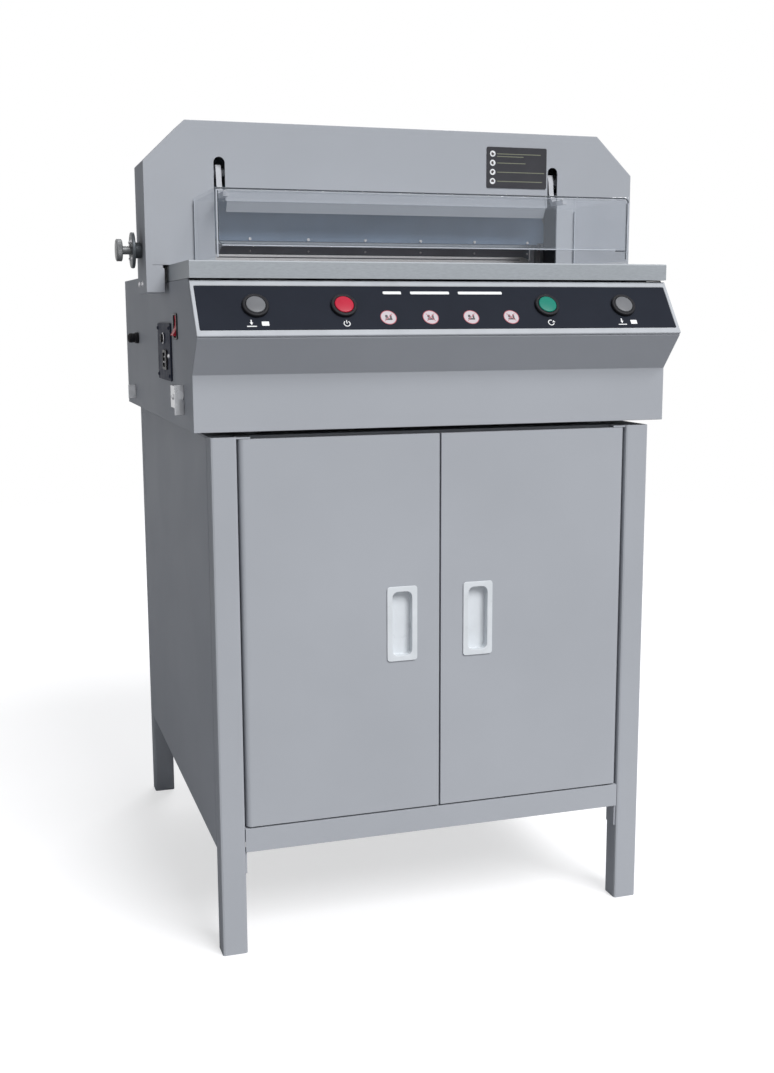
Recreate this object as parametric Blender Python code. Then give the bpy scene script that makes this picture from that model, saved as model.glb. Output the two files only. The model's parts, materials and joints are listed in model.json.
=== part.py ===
"""Electric paper cutting machine on its cabinet stand, built as separate pieces.

Metres, +Z up. The front of the machine faces -Y and its left side, as the operator sees it, is -X.
Sizes and places are worked out in machine coordinates: x = 0 is the middle of the housing,
y = 0 the front of its lower band and z = 0 the floor. One empty, machine_frame, carries
everything and puts the middle of the whole machine's box over the origin.
Every piece that moves hangs from an empty that stands on its joint's axis.
"""

import math

import bmesh
import bpy
from mathutils import Matrix, Vector

# Fits and resolution
FIT_GAP = 0.0003
RUN_GAP = 0.0004
OVERRUN = 0.004
ROUND_SIDES = 32
SMALL_SIDES = 20
ARC_STEPS = 4
ROUND_SHARE = 0.5

# Stand: legs, sheet panels, rail and doors
STAND_WIDTH = 0.600
STAND_BEHIND = 0.010
STAND_HEIGHT = 0.679
STAND_SETBACK = 0.002
LEG_WIDTH = 0.033
LEG_DEPTH = 0.030
LEG_WALL = 0.0018
LEG_ROUND = 0.003
FOOT_PLATE = 0.003
STAND_SHEET = 0.0015
PANEL_FOLD = 0.015
FLOOR_CLEARANCE = 0.139
RAIL_HEIGHT = 0.0315
TOP_FLANGE = 0.020
SHELF_TAB_HEIGHT = 0.030
SHELF_TAB_THICK = 0.002
SHELF_TAB_INSET = 0.0036
DOOR_GAP = 0.0025
DOOR_THICK = 0.016
DOOR_SHEET = 0.0012
HINGE_INSET = 0.007
HINGE_PIN_RADIUS = 0.003
HINGE_TAB_THICK = 0.002
HINGE_TAB_MARGIN = 0.005
HINGE_PLAY = 0.0005
CATCH_WIDTH = 0.060
CATCH_HEIGHT = 0.012
CATCH_DEPTH = 0.012
CATCH_ROUND = 0.0012

# Door handles: moulded pockets let into the doors
HANDLE_WIDTH = 0.0415
HANDLE_HEIGHT = 0.100
HANDLE_ROUND = 0.004
HANDLE_PROUD = 0.0015
HANDLE_FROM_MIDDLE = 0.053
HANDLE_DROP = 0.248
POCKET_WIDTH = 0.027
POCKET_HEIGHT = 0.086
POCKET_ROUND = 0.008
POCKET_DEPTH = 0.0115
POCKET_WALL = 0.0015

# Housing: folded sheet round the drive
BODY_WIDTH = 0.640
BODY_DEPTH = 0.662
BODY_LIFT = 0.0065
BODY_SHEET = 0.002
FRONT_BAND = 0.070
NOSE_RISE = 0.0475
NOSE_REACH = 0.043
PANEL_RISE = 0.0665
PANEL_RUN = 0.0485
TABLE_JOINT = 0.002
DECK_STEP = 0.0075
DECK_GAP = 0.002
BASE_PLATE = 0.003
POST_SIZE = 0.025
POST_FROM_SIDE = 0.030
POST_FROM_FRONT = 0.035
REAR_POST_FROM_MIDDLE = 0.240
REAR_POST_FROM_REAR = 0.062
BOSS_RADIUS = 0.015
BOSS_INSET = 0.060
VENT_COUNT = 7
VENT_PITCH = 0.012
VENT_WIDTH = 0.090
VENT_HEIGHT = 0.005
VENT_RISE = 0.0345

# Control panel
BEZEL_THICK = 0.004
BEZEL_SIDE = 0.0045
BEZEL_EDGE = 0.0085
OVERLAY_SUNK = 0.0005
BUTTON_RADIUS = 0.012
BUTTON_RISE = 0.0052
BUTTON_DEPTH = 0.012
BUTTON_DOME_RISE = 0.0012
BUTTON_SHOULDER_SHARE = 1 / 3
BUTTON_CROWN_SHARE = 0.55
COLLAR_RADIUS = 0.0165
COLLAR_RISE = 0.004
COLLAR_NECK_RADIUS = 0.014
COLLAR_DEPTH = 0.014
COLLAR_CHAMFER_WIDTH = 0.0015
BUTTON_UP_PANEL = 0.043
BUTTON_PLACES = {
    "cut_left": -0.2445,
    "power": -0.1342,
    "reset": 0.1376,
    "cut_right": 0.2467,
}

# Worktop
TABLE_THICK = 0.021
TABLE_FRONT = 0.001
TABLE_EDGE = 0.0015
REAR_TABLE_WIDTH = 0.524
REAR_TABLE_GAP = 0.012
STICK_WIDTH = 0.010
STICK_DEPTH = 0.008
STICK_LENGTH = 0.480
GAUGE_SLOT_WIDTH = 0.016

# Head: cover, opening and the frame inside it
HEAD_WIDTH = 0.699
HEAD_SETBACK = 0.164
HEAD_DEPTH = 0.087
HEAD_HEIGHT = 0.1845
HEAD_SHEET = 0.002
HEAD_LIP = 0.009
CHAMFER_RUN = 0.055
CHAMFER_DROP = 0.053
HEAD_FOOT_DROP = 0.0355
HEAD_FOOT_WIDTH = 0.024
OPENING_SHIFT = -0.012
OPENING_WIDTH = 0.4915
OPENING_HEIGHT = 0.0835
OPENING_LIP_DROP = 0.013
OPENING_LIP_RUN = 0.008
RETURN_DEPTH = 0.041
RETURN_HEIGHT = 0.105
REAR_OPENING_HEIGHT = 0.0975
REAR_OPENING_INSET = 0.0035
NOTCH_WIDTH = 0.015
NOTCH_OVER_PIVOT = 0.018
UPRIGHT_WIDTH = 0.014
UPRIGHT_CLEAR = 0.00325
UPRIGHT_FOOT = 0.025
UPRIGHT_FOOT_THICK = 0.008
HEAD_CLEAR = 0.002
TIE_HEIGHT = 0.020
TIE_CLEAR = 0.012

# Knife, its guides and its drive
THROAT_HEIGHT = 0.0315
DRAW_SHARE = 0.43
BAR_CLEAR = 0.002
BAR_THICK = 0.012
BAR_HEIGHT = 0.070
BAR_END = 0.011
BLADE_SHOW = 0.006
BLADE_THICK = 0.004
BLADE_HEIGHT = 0.040
BLADE_LENGTH = 0.467
BLADE_BEVEL = 0.011
BLADE_LAND = 0.0006
KNIFE_BOLTS = 6
BOLT_SPACING = 0.082
BOLT_SHIFT = 0.015
BOLT_RADIUS = 0.005
BOLT_HEAD = 0.005
BOLT_RISE = 0.012
BOLT_CROWN_SHARE = 0.86
BOLT_SHOULDER_SHARE = 0.8
GUIDE_PIN_RADIUS = 0.006
GUIDE_PIN_RISE = 0.020
GUIDE_HEAD_RADIUS = 0.0075
GUIDE_HEAD_THICK = 0.003
ROD_WIDTH = 0.018
ROD_THICK = 0.008
ROD_CLEAR = 0.0015
ROD_BOLT_RADIUS = 0.004
ROD_BOLT_PITCH = 0.026
ROD_BOLT_DROP = 0.016
CRANK_RISE = 0.0845
CRANK_PIN_RADIUS = 0.004
CRANK_RIM = 0.007
CRANK_THICK = 0.008
CRANK_SHAFT_RADIUS = 0.009
CRANK_SHAFT_LENGTH = 0.012
YOKE_CLEARANCE = 0.001
YOKE_WALL = 0.006
GEARBOX_WIDTH = 0.070
GEARBOX_DEPTH = 0.080
GEARBOX_HEIGHT = 0.084
GEARBOX_FOOT = 0.008
GEARBOX_FOOT_WIDTH = 0.090
GEARBOX_ROUND = 0.005
MOTOR_RADIUS = 0.044
MOTOR_LENGTH = 0.150
MOTOR_FINS = 20
MOTOR_FIN_HEIGHT = 0.005
MOTOR_CAP_LENGTH = 0.020
MOTOR_FOOT_WIDTH = 0.070

# Clamp
CLAMP_RISE = 0.002
CLAMP_CLEAR = 0.0017
CLAMP_THICK = 0.014
CLAMP_HEIGHT = 0.060
CLAMP_SIDE_CLEAR = 0.002
CLAMP_ROD_RADIUS = 0.005
CLAMP_ROD_FROM_MIDDLE = 0.180
CLAMP_ROD_SPARE = 0.003
CLAMP_GROOVES = 11
CLAMP_GROOVE_WIDTH = 0.010
CLAMP_GROOVE_DEPTH = 0.003

# Back gauge and its screw
GAUGE_SIDE_CLEAR = 0.0015
GAUGE_BEHIND_HEAD = 0.0015
GAUGE_HEIGHT = 0.052
GAUGE_THICK = 0.010
GAUGE_FOOT = 0.034
GAUGE_FOOT_THICK = 0.006
GAUGE_RIBS = 4
GAUGE_RIB_THICK = 0.005
GAUGE_RIB_SHARE = 0.8
GAUGE_RIB_TOE = 0.009
GAUGE_STRIP_THICK = 0.002
GAUGE_STRIP_HEIGHT = 0.019
GAUGE_STRIP_RUN = 0.012
GAUGE_STRIP_DROP = 0.004
CARRIAGE_LENGTH = 0.030
CARRIAGE_WIDTH = 0.044
CARRIAGE_HEIGHT = 0.034
CARRIAGE_DROP = 0.005
SCREW_RADIUS = 0.007
SCREW_DROP = 0.0215
SLOT_BEHIND_HEAD = 0.009
SCREW_LUG_THICK = 0.012
SCREW_LUG_WIDTH = 0.036
WHEEL_RADIUS = 0.036
WHEEL_RIM = 0.005
WHEEL_HUB_RADIUS = 0.013
WHEEL_HUB_LENGTH = 0.020
WHEEL_STANDOFF = 0.004
WHEEL_SPOKE_WIDTH = 0.008
WHEEL_SPOKE_THICK = 0.006

# Guard
GUARD_WIDTH = 0.5485
GUARD_REACH = 0.163
GUARD_BACK_GAP = 0.0008
GUARD_TOP_RISE = 0.0855
GUARD_SHEET = 0.003
GUARD_FRONT_GAP = 0.0165
GUARD_GAP_ROUND = 0.007
GUARD_SIDE_GAP = 0.0035
GUARD_ROUND = 0.003
PIVOT_BACK = 0.018
LUG_GAP = 0.0035
LUG_HEIGHT = 0.021
LUG_INSET = 0.001
GUARD_SHAFT_RADIUS = 0.005
ARM_WIDTH = 0.0086
ARM_THICK = 0.006
ARM_HUB_RADIUS = 0.0085
ARM_HEAD_FORWARD = 0.006
ARM_HEAD_RISE = 0.0075
ARM_INSIDE_BACK = 0.006
ARM_KNEE_DROP = 0.019
ARM_KNEE_RUN = 0.002
ARM_FOOT_LENGTH = 0.036
ARM_FOOT_START = 0.006

# Fittings on the left side
SERVICE_PLATE_DEPTH = 0.113
SERVICE_PLATE_HEIGHT = 0.076
SERVICE_PLATE_THICK = 0.0025
SERVICE_PLATE_PLACE = 0.2125
SERVICE_PLATE_RISE = 0.094
FUSE_RADIUS = 0.0075
FUSE_LENGTH = 0.0045
FUSE_PLACE = 0.209
FUSE_RISE = 0.112
FUSE_CROWN_SHARE = 0.8
FUSE_BODY_SHARE = 0.9
FUSE_FLANGE_SHARE = 0.3
SWITCH_WIDTH = 0.030
SWITCH_HEIGHT = 0.033
SWITCH_FLANGE = 0.0015
SWITCH_PLACE = 0.118
SWITCH_RISE = 0.128
SWITCH_ROUND = 0.002
SWITCH_CASE_WIDTH = 0.027
SWITCH_CASE_HEIGHT = 0.031
SWITCH_CASE_WALL = 0.0015
ROCKER_WIDTH = 0.020
ROCKER_HEIGHT = 0.0256
ROCKER_THROW = 0.0028
ROCKER_AXIS_DEPTH = 0.004
ROCKER_END_RISE = 0.0014
ROCKER_BODY_DEPTH = 0.0035
ROCKER_PIN_RADIUS = 0.0015
ROCKER_PIN_LENGTH = 0.002
ROCKER_PLAY = 0.0004
INLET_FROM_REAR = 0.157
INLET_RISE = 0.1085
INLET_RADIUS = 0.0085
INLET_BORE = 0.0035
INLET_LENGTH = 0.0166
INLET_RADIUS_SHARES = (0.6, 0.75, 0.85)
INLET_LENGTH_SHARES = (0.85, 0.35)
INLET_FLOOR_SHARE = 0.2
BRACKET_SHEET = 0.002
BRACKET_LIP = 0.012
BRACKET_STEP = 0.0045
FRONT_BRACKET_PLACE = 0.066
FRONT_BRACKET_DEPTH = 0.100
FRONT_BRACKET_RISE = 0.0175
FRONT_BRACKET_HEIGHT = 0.038
REAR_BRACKET_FROM_REAR = 0.022
REAR_BRACKET_DEPTH = 0.080
REAR_BRACKET_RISE = 0.0115
REAR_BRACKET_HEIGHT = 0.022
ADJUSTER_BACK = 0.0435
ADJUSTER_RISE = 0.0205
ADJUSTER_FLANGE_RADIUS = 0.0235
ADJUSTER_FLANGE_THICK = 0.0043
ADJUSTER_FLANGE_CHAMFER = 0.001
ADJUSTER_NECK_RADIUS = 0.0105
ADJUSTER_NECK_LENGTH = 0.0091
ADJUSTER_SHAFT_RADIUS = 0.0055
ADJUSTER_STANDOFF = 0.0116
ADJUSTER_KNOB_RADIUS = 0.0145
ADJUSTER_KNOB_LENGTH = 0.008
ADJUSTER_GRIPS = 20
ADJUSTER_GRIP_DEPTH = 0.0008
ADJUSTER_CAM_RADIUS = 0.009
ADJUSTER_CAM_OFFSET = 0.003
ADJUSTER_CAM_LENGTH = 0.006
ADJUSTER_CAM_GAP = 0.003

# Electric box inside the housing
BOX_WIDTH = 0.180
BOX_DEPTH = 0.160
BOX_HEIGHT = 0.070
BOX_PLACE_X = 0.150
BOX_FROM_REAR = 0.232
BOX_LID = 0.004
BOX_LID_OVER = 0.003

# Places worked out from the sizes above: stand
stand_half = STAND_WIDTH / 2
stand_front = STAND_SETBACK
stand_back = BODY_DEPTH + STAND_BEHIND
leg_inner = stand_half - LEG_WIDTH
rail_top = FLOOR_CLEARANCE + RAIL_HEIGHT
door_bottom = rail_top + DOOR_GAP
door_top = STAND_HEIGHT - HINGE_TAB_THICK - 2 * HINGE_PLAY
door_outer = leg_inner - DOOR_GAP
door_back = stand_front + DOOR_THICK
hinge_x = door_outer - HINGE_INSET
hinge_y = stand_front + HINGE_INSET
door_swing = math.hypot(HINGE_INSET, DOOR_THICK - HINGE_INSET)
stand_top_front = hinge_y + door_swing + HINGE_PLAY
handle_level = door_top - HANDLE_DROP

# Housing
body_half = BODY_WIDTH / 2
body_bottom = STAND_HEIGHT + BODY_LIFT
fold_level = body_bottom + FRONT_BAND
nose_level = fold_level + NOSE_RISE
panel_top = nose_level + PANEL_RISE
table_bottom = panel_top + TABLE_JOINT
table_top = table_bottom + TABLE_THICK
deck_top = table_top - DECK_STEP
base_top = body_bottom + BASE_PLATE
rear_table_end = BODY_DEPTH - REAR_TABLE_GAP
side_inner = body_half - BODY_SHEET
nose = Vector((-NOSE_REACH, nose_level))
panel_end = Vector((PANEL_RUN - NOSE_REACH, panel_top))
panel_up = (panel_end - nose).normalized()
panel_out = Vector((-panel_up.y, panel_up.x))
panel_length = (panel_end - nose).length

# Head, from the face of the cover backwards
head_half = HEAD_WIDTH / 2
head_face = HEAD_SETBACK
head_back = head_face + HEAD_DEPTH
head_top = table_top + HEAD_HEIGHT
head_foot_bottom = table_top - HEAD_FOOT_DROP
face_inner = head_face + HEAD_SHEET
back_inner = head_back - HEAD_SHEET
bar_front = face_inner + RETURN_DEPTH + BAR_CLEAR
bar_back = bar_front + BAR_THICK
blade_front = bar_back + FIT_GAP
blade_back = blade_front + BLADE_THICK
clamp_front = blade_back + CLAMP_CLEAR
upright_front = clamp_front
upright_back = back_inner - HEAD_CLEAR
rod_back = bar_front - FIT_GAP
rod_front = rod_back - ROD_THICK

# Head, from the table upwards
blade_edge = table_top + THROAT_HEIGHT
knife_drop = THROAT_HEIGHT - FIT_GAP
knife_draw = DRAW_SHARE * knife_drop
knife_travel = math.hypot(knife_drop, knife_draw)
bar_bottom = blade_edge + BLADE_SHOW
bar_top = bar_bottom + BAR_HEIGHT
pivot_level = bar_top + LUG_GAP + LUG_HEIGHT / 2
pivot_y = head_face + PIVOT_BACK
notch_top = pivot_level + NOTCH_OVER_PIVOT
opening_top = table_top + OPENING_HEIGHT
clamp_bottom = blade_edge + CLAMP_RISE
clamp_top = clamp_bottom + CLAMP_HEIGHT
clamp_drop = clamp_bottom - table_top - FIT_GAP
tie_bottom = clamp_top + TIE_CLEAR
tie_top = tie_bottom + TIE_HEIGHT
upright_top = pivot_level + LUG_HEIGHT / 2 + LUG_INSET

# Head, across the machine
opening_half = OPENING_WIDTH / 2
opening_left = OPENING_SHIFT - opening_half
opening_right = OPENING_SHIFT + opening_half
notch_from_middle = opening_half - NOTCH_WIDTH / 2
upright_in = opening_half + UPRIGHT_CLEAR
upright_out = upright_in + UPRIGHT_WIDTH
guide_from_middle = (upright_in + upright_out) / 2
guide_level = bar_bottom + GUIDE_PIN_RISE
rod_right = OPENING_SHIFT - guide_from_middle - GUIDE_HEAD_RADIUS - ROD_CLEAR - knife_draw
rod_left = rod_right - ROD_WIDTH
bar_left = rod_left - ROD_CLEAR
bar_right = OPENING_SHIFT + upright_out + BAR_END

# Crank and yoke: the pin swings through a quarter turn on the left of the shaft
crank_radius = knife_drop / math.sqrt(2)
crank_lean = crank_radius / math.sqrt(2)
yoke_slot_half = (crank_radius - crank_lean + knife_draw) / 2 + YOKE_CLEARANCE
yoke_left = rod_left - YOKE_CLEARANCE
yoke_half = yoke_slot_half + CRANK_PIN_RADIUS + YOKE_CLEARANCE + YOKE_WALL
yoke_middle = yoke_left + yoke_half
crank_level = body_bottom + CRANK_RISE
yoke_level = crank_level + crank_lean
crank_x = yoke_middle + crank_lean + yoke_slot_half - YOKE_CLEARANCE
crank_front = rod_back + YOKE_CLEARANCE
crank_back = crank_front + CRANK_THICK
gearbox_front = crank_back + ROD_CLEAR

# Gauge and guard
gauge_axis_level = table_bottom - SCREW_DROP
gauge_place = head_back + GAUGE_BEHIND_HEAD
gauge_face = gauge_place + GAUGE_STRIP_THICK + FIT_GAP
gauge_half = opening_half - GAUGE_SIDE_CLEAR
slot_start = head_back + SLOT_BEHIND_HEAD
screw_lug_back = slot_start - GAUGE_SLOT_WIDTH / 2 - YOKE_CLEARANCE
guard_back = head_face - GUARD_BACK_GAP
guard_front = guard_back - GUARD_REACH
guard_top = table_top + GUARD_TOP_RISE
adjuster_y = head_face + ADJUSTER_BACK
adjuster_level = table_top + ADJUSTER_RISE

# Fittings on the left side and the box inside
service_plate_level = body_bottom + SERVICE_PLATE_RISE
fuse_level = body_bottom + FUSE_RISE
switch_level = body_bottom + SWITCH_RISE
switch_seat = -body_half - FIT_GAP
rocker_axis = switch_seat - SWITCH_FLANGE + ROCKER_AXIS_DEPTH
rocker_reach = math.hypot(ROCKER_HEIGHT / 2, ROCKER_AXIS_DEPTH + ROCKER_END_RISE)
rocker_lean = math.asin(ROCKER_THROW / (ROCKER_HEIGHT / 2))
pocket_floor = rocker_axis + ROCKER_BODY_DEPTH + ROCKER_THROW + ROCKER_PLAY
inlet_place = BODY_DEPTH - INLET_FROM_REAR
inlet_level = body_bottom + INLET_RISE
rear_bracket_place = BODY_DEPTH - REAR_BRACKET_FROM_REAR - REAR_BRACKET_DEPTH
box_place_y = BODY_DEPTH - BOX_FROM_REAR

# The whole machine's box, to put its middle over the origin
wheel_end = BODY_DEPTH + WHEEL_STANDOFF + WHEEL_HUB_LENGTH
flange_reach = FIT_GAP + ADJUSTER_NECK_LENGTH + ADJUSTER_FLANGE_THICK
knob_end = head_half + flange_reach + ADJUSTER_STANDOFF + ADJUSTER_KNOB_LENGTH
shift_x = (knob_end - head_half) / 2
shift_y = (NOSE_REACH - wheel_end) / 2


def clear_scene():
    """Remove every object that the file opened with."""
    for old in list(bpy.data.objects):
        bpy.data.objects.remove(old, do_unlink=True)


def material(name, colour, roughness, metallic=0.0, alpha=1.0):
    """One Principled finish."""
    finish = bpy.data.materials.new(name)
    finish.use_nodes = True
    shader = finish.node_tree.nodes["Principled BSDF"]
    shader.inputs["Base Color"].default_value = (*colour, 1.0)
    shader.inputs["Roughness"].default_value = roughness
    shader.inputs["Metallic"].default_value = metallic
    shader.inputs["Alpha"].default_value = alpha
    finish.diffuse_color = (*colour, alpha)
    return finish


def empty(name, place, parent=None):
    """An empty at a place in machine coordinates. Its own place is kept to hang pieces from it."""
    holder = bpy.data.objects.new(name, None)
    bpy.context.scene.collection.objects.link(holder)
    base = Vector(parent["machine_place"]) if parent else Vector((0, 0, 0))
    holder.location = Vector(place) - base
    holder["machine_place"] = list(place)
    holder.parent = parent
    return holder


def from_bmesh(bm):
    """A bare object from a bmesh, its faces pointing out."""
    bmesh.ops.remove_doubles(bm, verts=bm.verts, dist=FIT_GAP / 100)
    bmesh.ops.recalc_face_normals(bm, faces=bm.faces)
    mesh = bpy.data.meshes.new("piece")
    bm.to_mesh(mesh)
    bm.free()
    piece = bpy.data.objects.new("piece", mesh)
    bpy.context.scene.collection.objects.link(piece)
    return piece


def box(x0, x1, y0, y1, z0, z1):
    """A box between three pairs of limits."""
    bm = bmesh.new()
    bmesh.ops.create_cube(bm, size=1)
    middle = Vector((x0 + x1, y0 + y1, z0 + z1)) / 2
    size = Matrix.Diagonal((abs(x1 - x0), abs(y1 - y0), abs(z1 - z0), 1))
    bmesh.ops.transform(bm, matrix=Matrix.Translation(middle) @ size, verts=bm.verts)
    return from_bmesh(bm)


AXIS_FRAMES = {
    "X": lambda a, b, along: Vector((along, a, b)),
    "Y": lambda a, b, along: Vector((a, along, b)),
    "Z": lambda a, b, along: Vector((a, b, along)),
}


def prism(outline, axis, start, end):
    """A flat outline carried along an axis. Its points are (Y, Z), (X, Z) or (X, Y)."""
    bm = bmesh.new()
    frame = AXIS_FRAMES[axis]
    face = bm.faces.new([bm.verts.new(frame(a, b, start)) for a, b in outline])
    moved = bmesh.ops.extrude_face_region(bm, geom=[face])
    top = [item for item in moved["geom"] if isinstance(item, bmesh.types.BMVert)]
    bmesh.ops.translate(bm, vec=frame(0, 0, end) - frame(0, 0, start), verts=top)
    return from_bmesh(bm)


def turned(profile, axis, centre, sides=ROUND_SIDES):
    """A solid of revolution: (along, radius) points from one end to the other, about an axis."""
    bm = bmesh.new()
    frame = AXIS_FRAMES[axis]
    rings = []
    for along, radius in profile:
        ring = []
        for step in range(sides):
            turn = 2 * math.pi * step / sides
            spot = frame(centre[0] + radius * math.cos(turn), centre[1] + radius * math.sin(turn), along)
            ring.append(bm.verts.new(spot))
        rings.append(ring)
    for low, high in zip(rings, rings[1:]):
        for step in range(sides):
            after = (step + 1) % sides
            bm.faces.new((low[step], low[after], high[after], high[step]))
    bm.faces.new(rings[0])
    bm.faces.new(rings[-1])
    return from_bmesh(bm)


def cylinder(axis, centre, radius, start, end, sides=ROUND_SIDES):
    """A plain round bar along an axis."""
    return turned([(start, radius), (end, radius)], axis, centre, sides)


def torus(axis, centre, along, radius, thickness, sides=ROUND_SIDES, section=8):
    """A ring of round section about an axis."""
    bm = bmesh.new()
    frame = AXIS_FRAMES[axis]
    grid = []
    for step in range(sides):
        turn = 2 * math.pi * step / sides
        row = []
        for part in range(section):
            lean = 2 * math.pi * part / section
            reach = radius + thickness * math.cos(lean)
            spot = frame(
                centre[0] + reach * math.cos(turn),
                centre[1] + reach * math.sin(turn),
                along + thickness * math.sin(lean),
            )
            row.append(bm.verts.new(spot))
        grid.append(row)
    for step in range(sides):
        after = (step + 1) % sides
        for part in range(section):
            turned_part = (part + 1) % section
            bm.faces.new((
                grid[step][part],
                grid[after][part],
                grid[after][turned_part],
                grid[step][turned_part],
            ))
    return from_bmesh(bm)


def boolean(body, tools, operation):
    """Cut tools from a body, or join them to it, and drop the tools."""
    for tool in tools:
        step = body.modifiers.new("step", "BOOLEAN")
        step.operation = operation
        step.solver = "EXACT"
        step.object = tool
        graph = bpy.context.evaluated_depsgraph_get()
        mesh = bpy.data.meshes.new_from_object(body.evaluated_get(graph))
        body.modifiers.clear()
        body.data = mesh
        bpy.data.objects.remove(tool, do_unlink=True)
    return body


def cut(body, *tools):
    """The body less its tools."""
    return boolean(body, tools, "DIFFERENCE")


def join(body, *tools):
    """The body welded to its tools."""
    return boolean(body, tools, "UNION")


def bevel(body, width, steps, keep):
    """Round the sharp edges that keep(start, end) picks."""
    bm = bmesh.new()
    bm.from_mesh(body.data)
    bmesh.ops.dissolve_limit(bm, angle_limit=math.radians(1), verts=bm.verts, edges=bm.edges)
    edges = [edge for edge in bm.edges if keep(edge.verts[0].co, edge.verts[1].co)]
    bmesh.ops.bevel(
        bm,
        geom=edges,
        offset=width,
        offset_type="OFFSET",
        segments=steps,
        profile=ROUND_SHARE,
        affect="EDGES",
        clamp_overlap=True,
    )
    bm.to_mesh(body.data)
    bm.free()
    return body


def upright_edge(start, end):
    """True for an edge that stands along Z."""
    return abs(start.x - end.x) + abs(start.y - end.y) < FIT_GAP


def arc(centre, radius, start, end, steps=ARC_STEPS):
    """Points on an arc, angles in degrees."""
    points = []
    for step in range(steps + 1):
        turn = math.radians(start + (end - start) * step / steps)
        points.append((centre[0] + radius * math.cos(turn), centre[1] + radius * math.sin(turn)))
    return points


def round_rectangle(middle, width, height, radius, steps=ARC_STEPS):
    """A rectangle with round corners, its points in order."""
    across = width / 2 - radius
    up = height / 2 - radius
    outline = []
    for side_x, side_y, start in ((1, 1, 0), (-1, 1, 90), (-1, -1, 180), (1, -1, 270)):
        corner = (middle[0] + side_x * across, middle[1] + side_y * up)
        outline += arc(corner, radius, start, start + 90, steps)
    return outline


def slot_outline(start, end, radius, steps=ARC_STEPS):
    """A slot with round ends between two centres."""
    heading = math.degrees(math.atan2(end[1] - start[1], end[0] - start[0]))
    far = arc(end, radius, heading - 90, heading + 90, 2 * steps)
    near = arc(start, radius, heading + 90, heading + 270, 2 * steps)
    return far + near


def offset_path(points, distance):
    """An open path moved to its right by a distance, with mitred corners."""
    points = [Vector(point) for point in points]
    headings = [(after - before).normalized() for before, after in zip(points, points[1:])]
    rights = [Vector((heading.y, -heading.x)) for heading in headings]
    moved = [points[0] + rights[0] * distance]
    for place, before, after in zip(points[1:-1], rights, rights[1:]):
        mitre = (before + after).normalized()
        moved.append(place + mitre * (distance / mitre.dot(before)))
    moved.append(points[-1] + rights[-1] * distance)
    return moved


def strip_outline(points, width):
    """The closed outline of a flat bar that follows a path."""
    return offset_path(points, width / 2) + offset_path(points, -width / 2)[::-1]


def line_at_height(start, heading, height):
    """The point of a line in the (Y, Z) plane at a height."""
    return start + heading * ((height - start.y) / heading.y)


def finish(piece, name, surface, origin, parent):
    """Name a piece, give it its finish, and put its own origin at a machine place under its parent."""
    place = Vector(origin)
    bm = bmesh.new()
    bm.from_mesh(piece.data)
    bmesh.ops.remove_doubles(bm, verts=bm.verts, dist=FIT_GAP / 100)
    bmesh.ops.dissolve_degenerate(bm, edges=bm.edges, dist=FIT_GAP / 100)
    bmesh.ops.translate(bm, vec=-place, verts=bm.verts)
    bm.to_mesh(piece.data)
    bm.free()
    piece.name = name
    piece.data.name = name
    piece.data.materials.clear()
    piece.data.materials.append(surface)
    piece.data.shade_smooth()
    piece.data.set_sharp_from_angle(angle=math.radians(32))
    piece.parent = parent
    piece.location = place - Vector(parent["machine_place"])
    return piece


def leg(side, front, paint, frame):
    """A square tube leg with a foot plate, its shelf tab and, in front, the tab that holds a door."""
    x_out = side * stand_half
    x_in = side * leg_inner
    y_out = stand_front if front else stand_back
    y_in = y_out + (LEG_DEPTH if front else -LEG_DEPTH)
    tube = box(x_out, x_in, y_out, y_in, 0, STAND_HEIGHT)
    bevel(tube, LEG_ROUND, 2, upright_edge)
    way = 1 if front else -1
    inward = way * LEG_WALL
    hollow = box(
        x_out - side * LEG_WALL,
        x_in + side * LEG_WALL,
        y_out + inward,
        y_in - inward,
        FOOT_PLATE,
        STAND_HEIGHT + OVERRUN,
    )
    cut(tube, hollow)
    tab = box(
        x_in + side * LEG_WALL / 2,
        x_in - side * SHELF_TAB_THICK,
        y_out + way * SHELF_TAB_INSET,
        y_in - way * SHELF_TAB_INSET,
        FLOOR_CLEARANCE - SHELF_TAB_HEIGHT,
        FLOOR_CLEARANCE - FIT_GAP,
    )
    join(tube, tab)
    if front:
        tab_bottom = door_top + HINGE_PLAY
        hinge_tab = box(
            x_in + side * LEG_WALL / 2,
            side * (hinge_x - HINGE_PIN_RADIUS - HINGE_TAB_MARGIN),
            stand_front + LEG_ROUND,
            hinge_y + HINGE_PIN_RADIUS + HINGE_TAB_MARGIN,
            tab_bottom,
            tab_bottom + HINGE_TAB_THICK,
        )
        join(tube, hinge_tab)
        hole = cylinder(
            "Z",
            (side * hinge_x, hinge_y),
            HINGE_PIN_RADIUS + RUN_GAP,
            tab_bottom - OVERRUN,
            STAND_HEIGHT + OVERRUN,
            SMALL_SIDES,
        )
        cut(tube, hole)
    name = "leg_" + ("front_" if front else "rear_") + ("right" if side > 0 else "left")
    return finish(tube, name, paint, (x_out, y_out, 0), frame)


def stand_side(side, paint, frame):
    """A side panel between two legs, folded inwards at its top and bottom."""
    outer = side * stand_half
    inner = side * (stand_half - STAND_SHEET)
    fold = side * (stand_half - PANEL_FOLD)
    low = FLOOR_CLEARANCE
    high = STAND_HEIGHT - STAND_SHEET - FIT_GAP
    outline = [
        (outer, low),
        (outer, high),
        (fold, high),
        (fold, high - STAND_SHEET),
        (inner, high - STAND_SHEET),
        (inner, low + STAND_SHEET),
        (fold, low + STAND_SHEET),
        (fold, low),
    ]
    panel = prism(
        outline,
        "Y",
        stand_front + LEG_DEPTH + FIT_GAP,
        stand_back - LEG_DEPTH - FIT_GAP,
    )
    name = "stand_side_" + ("right" if side > 0 else "left")
    return finish(panel, name, paint, (outer, stand_front, low), frame)


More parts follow.
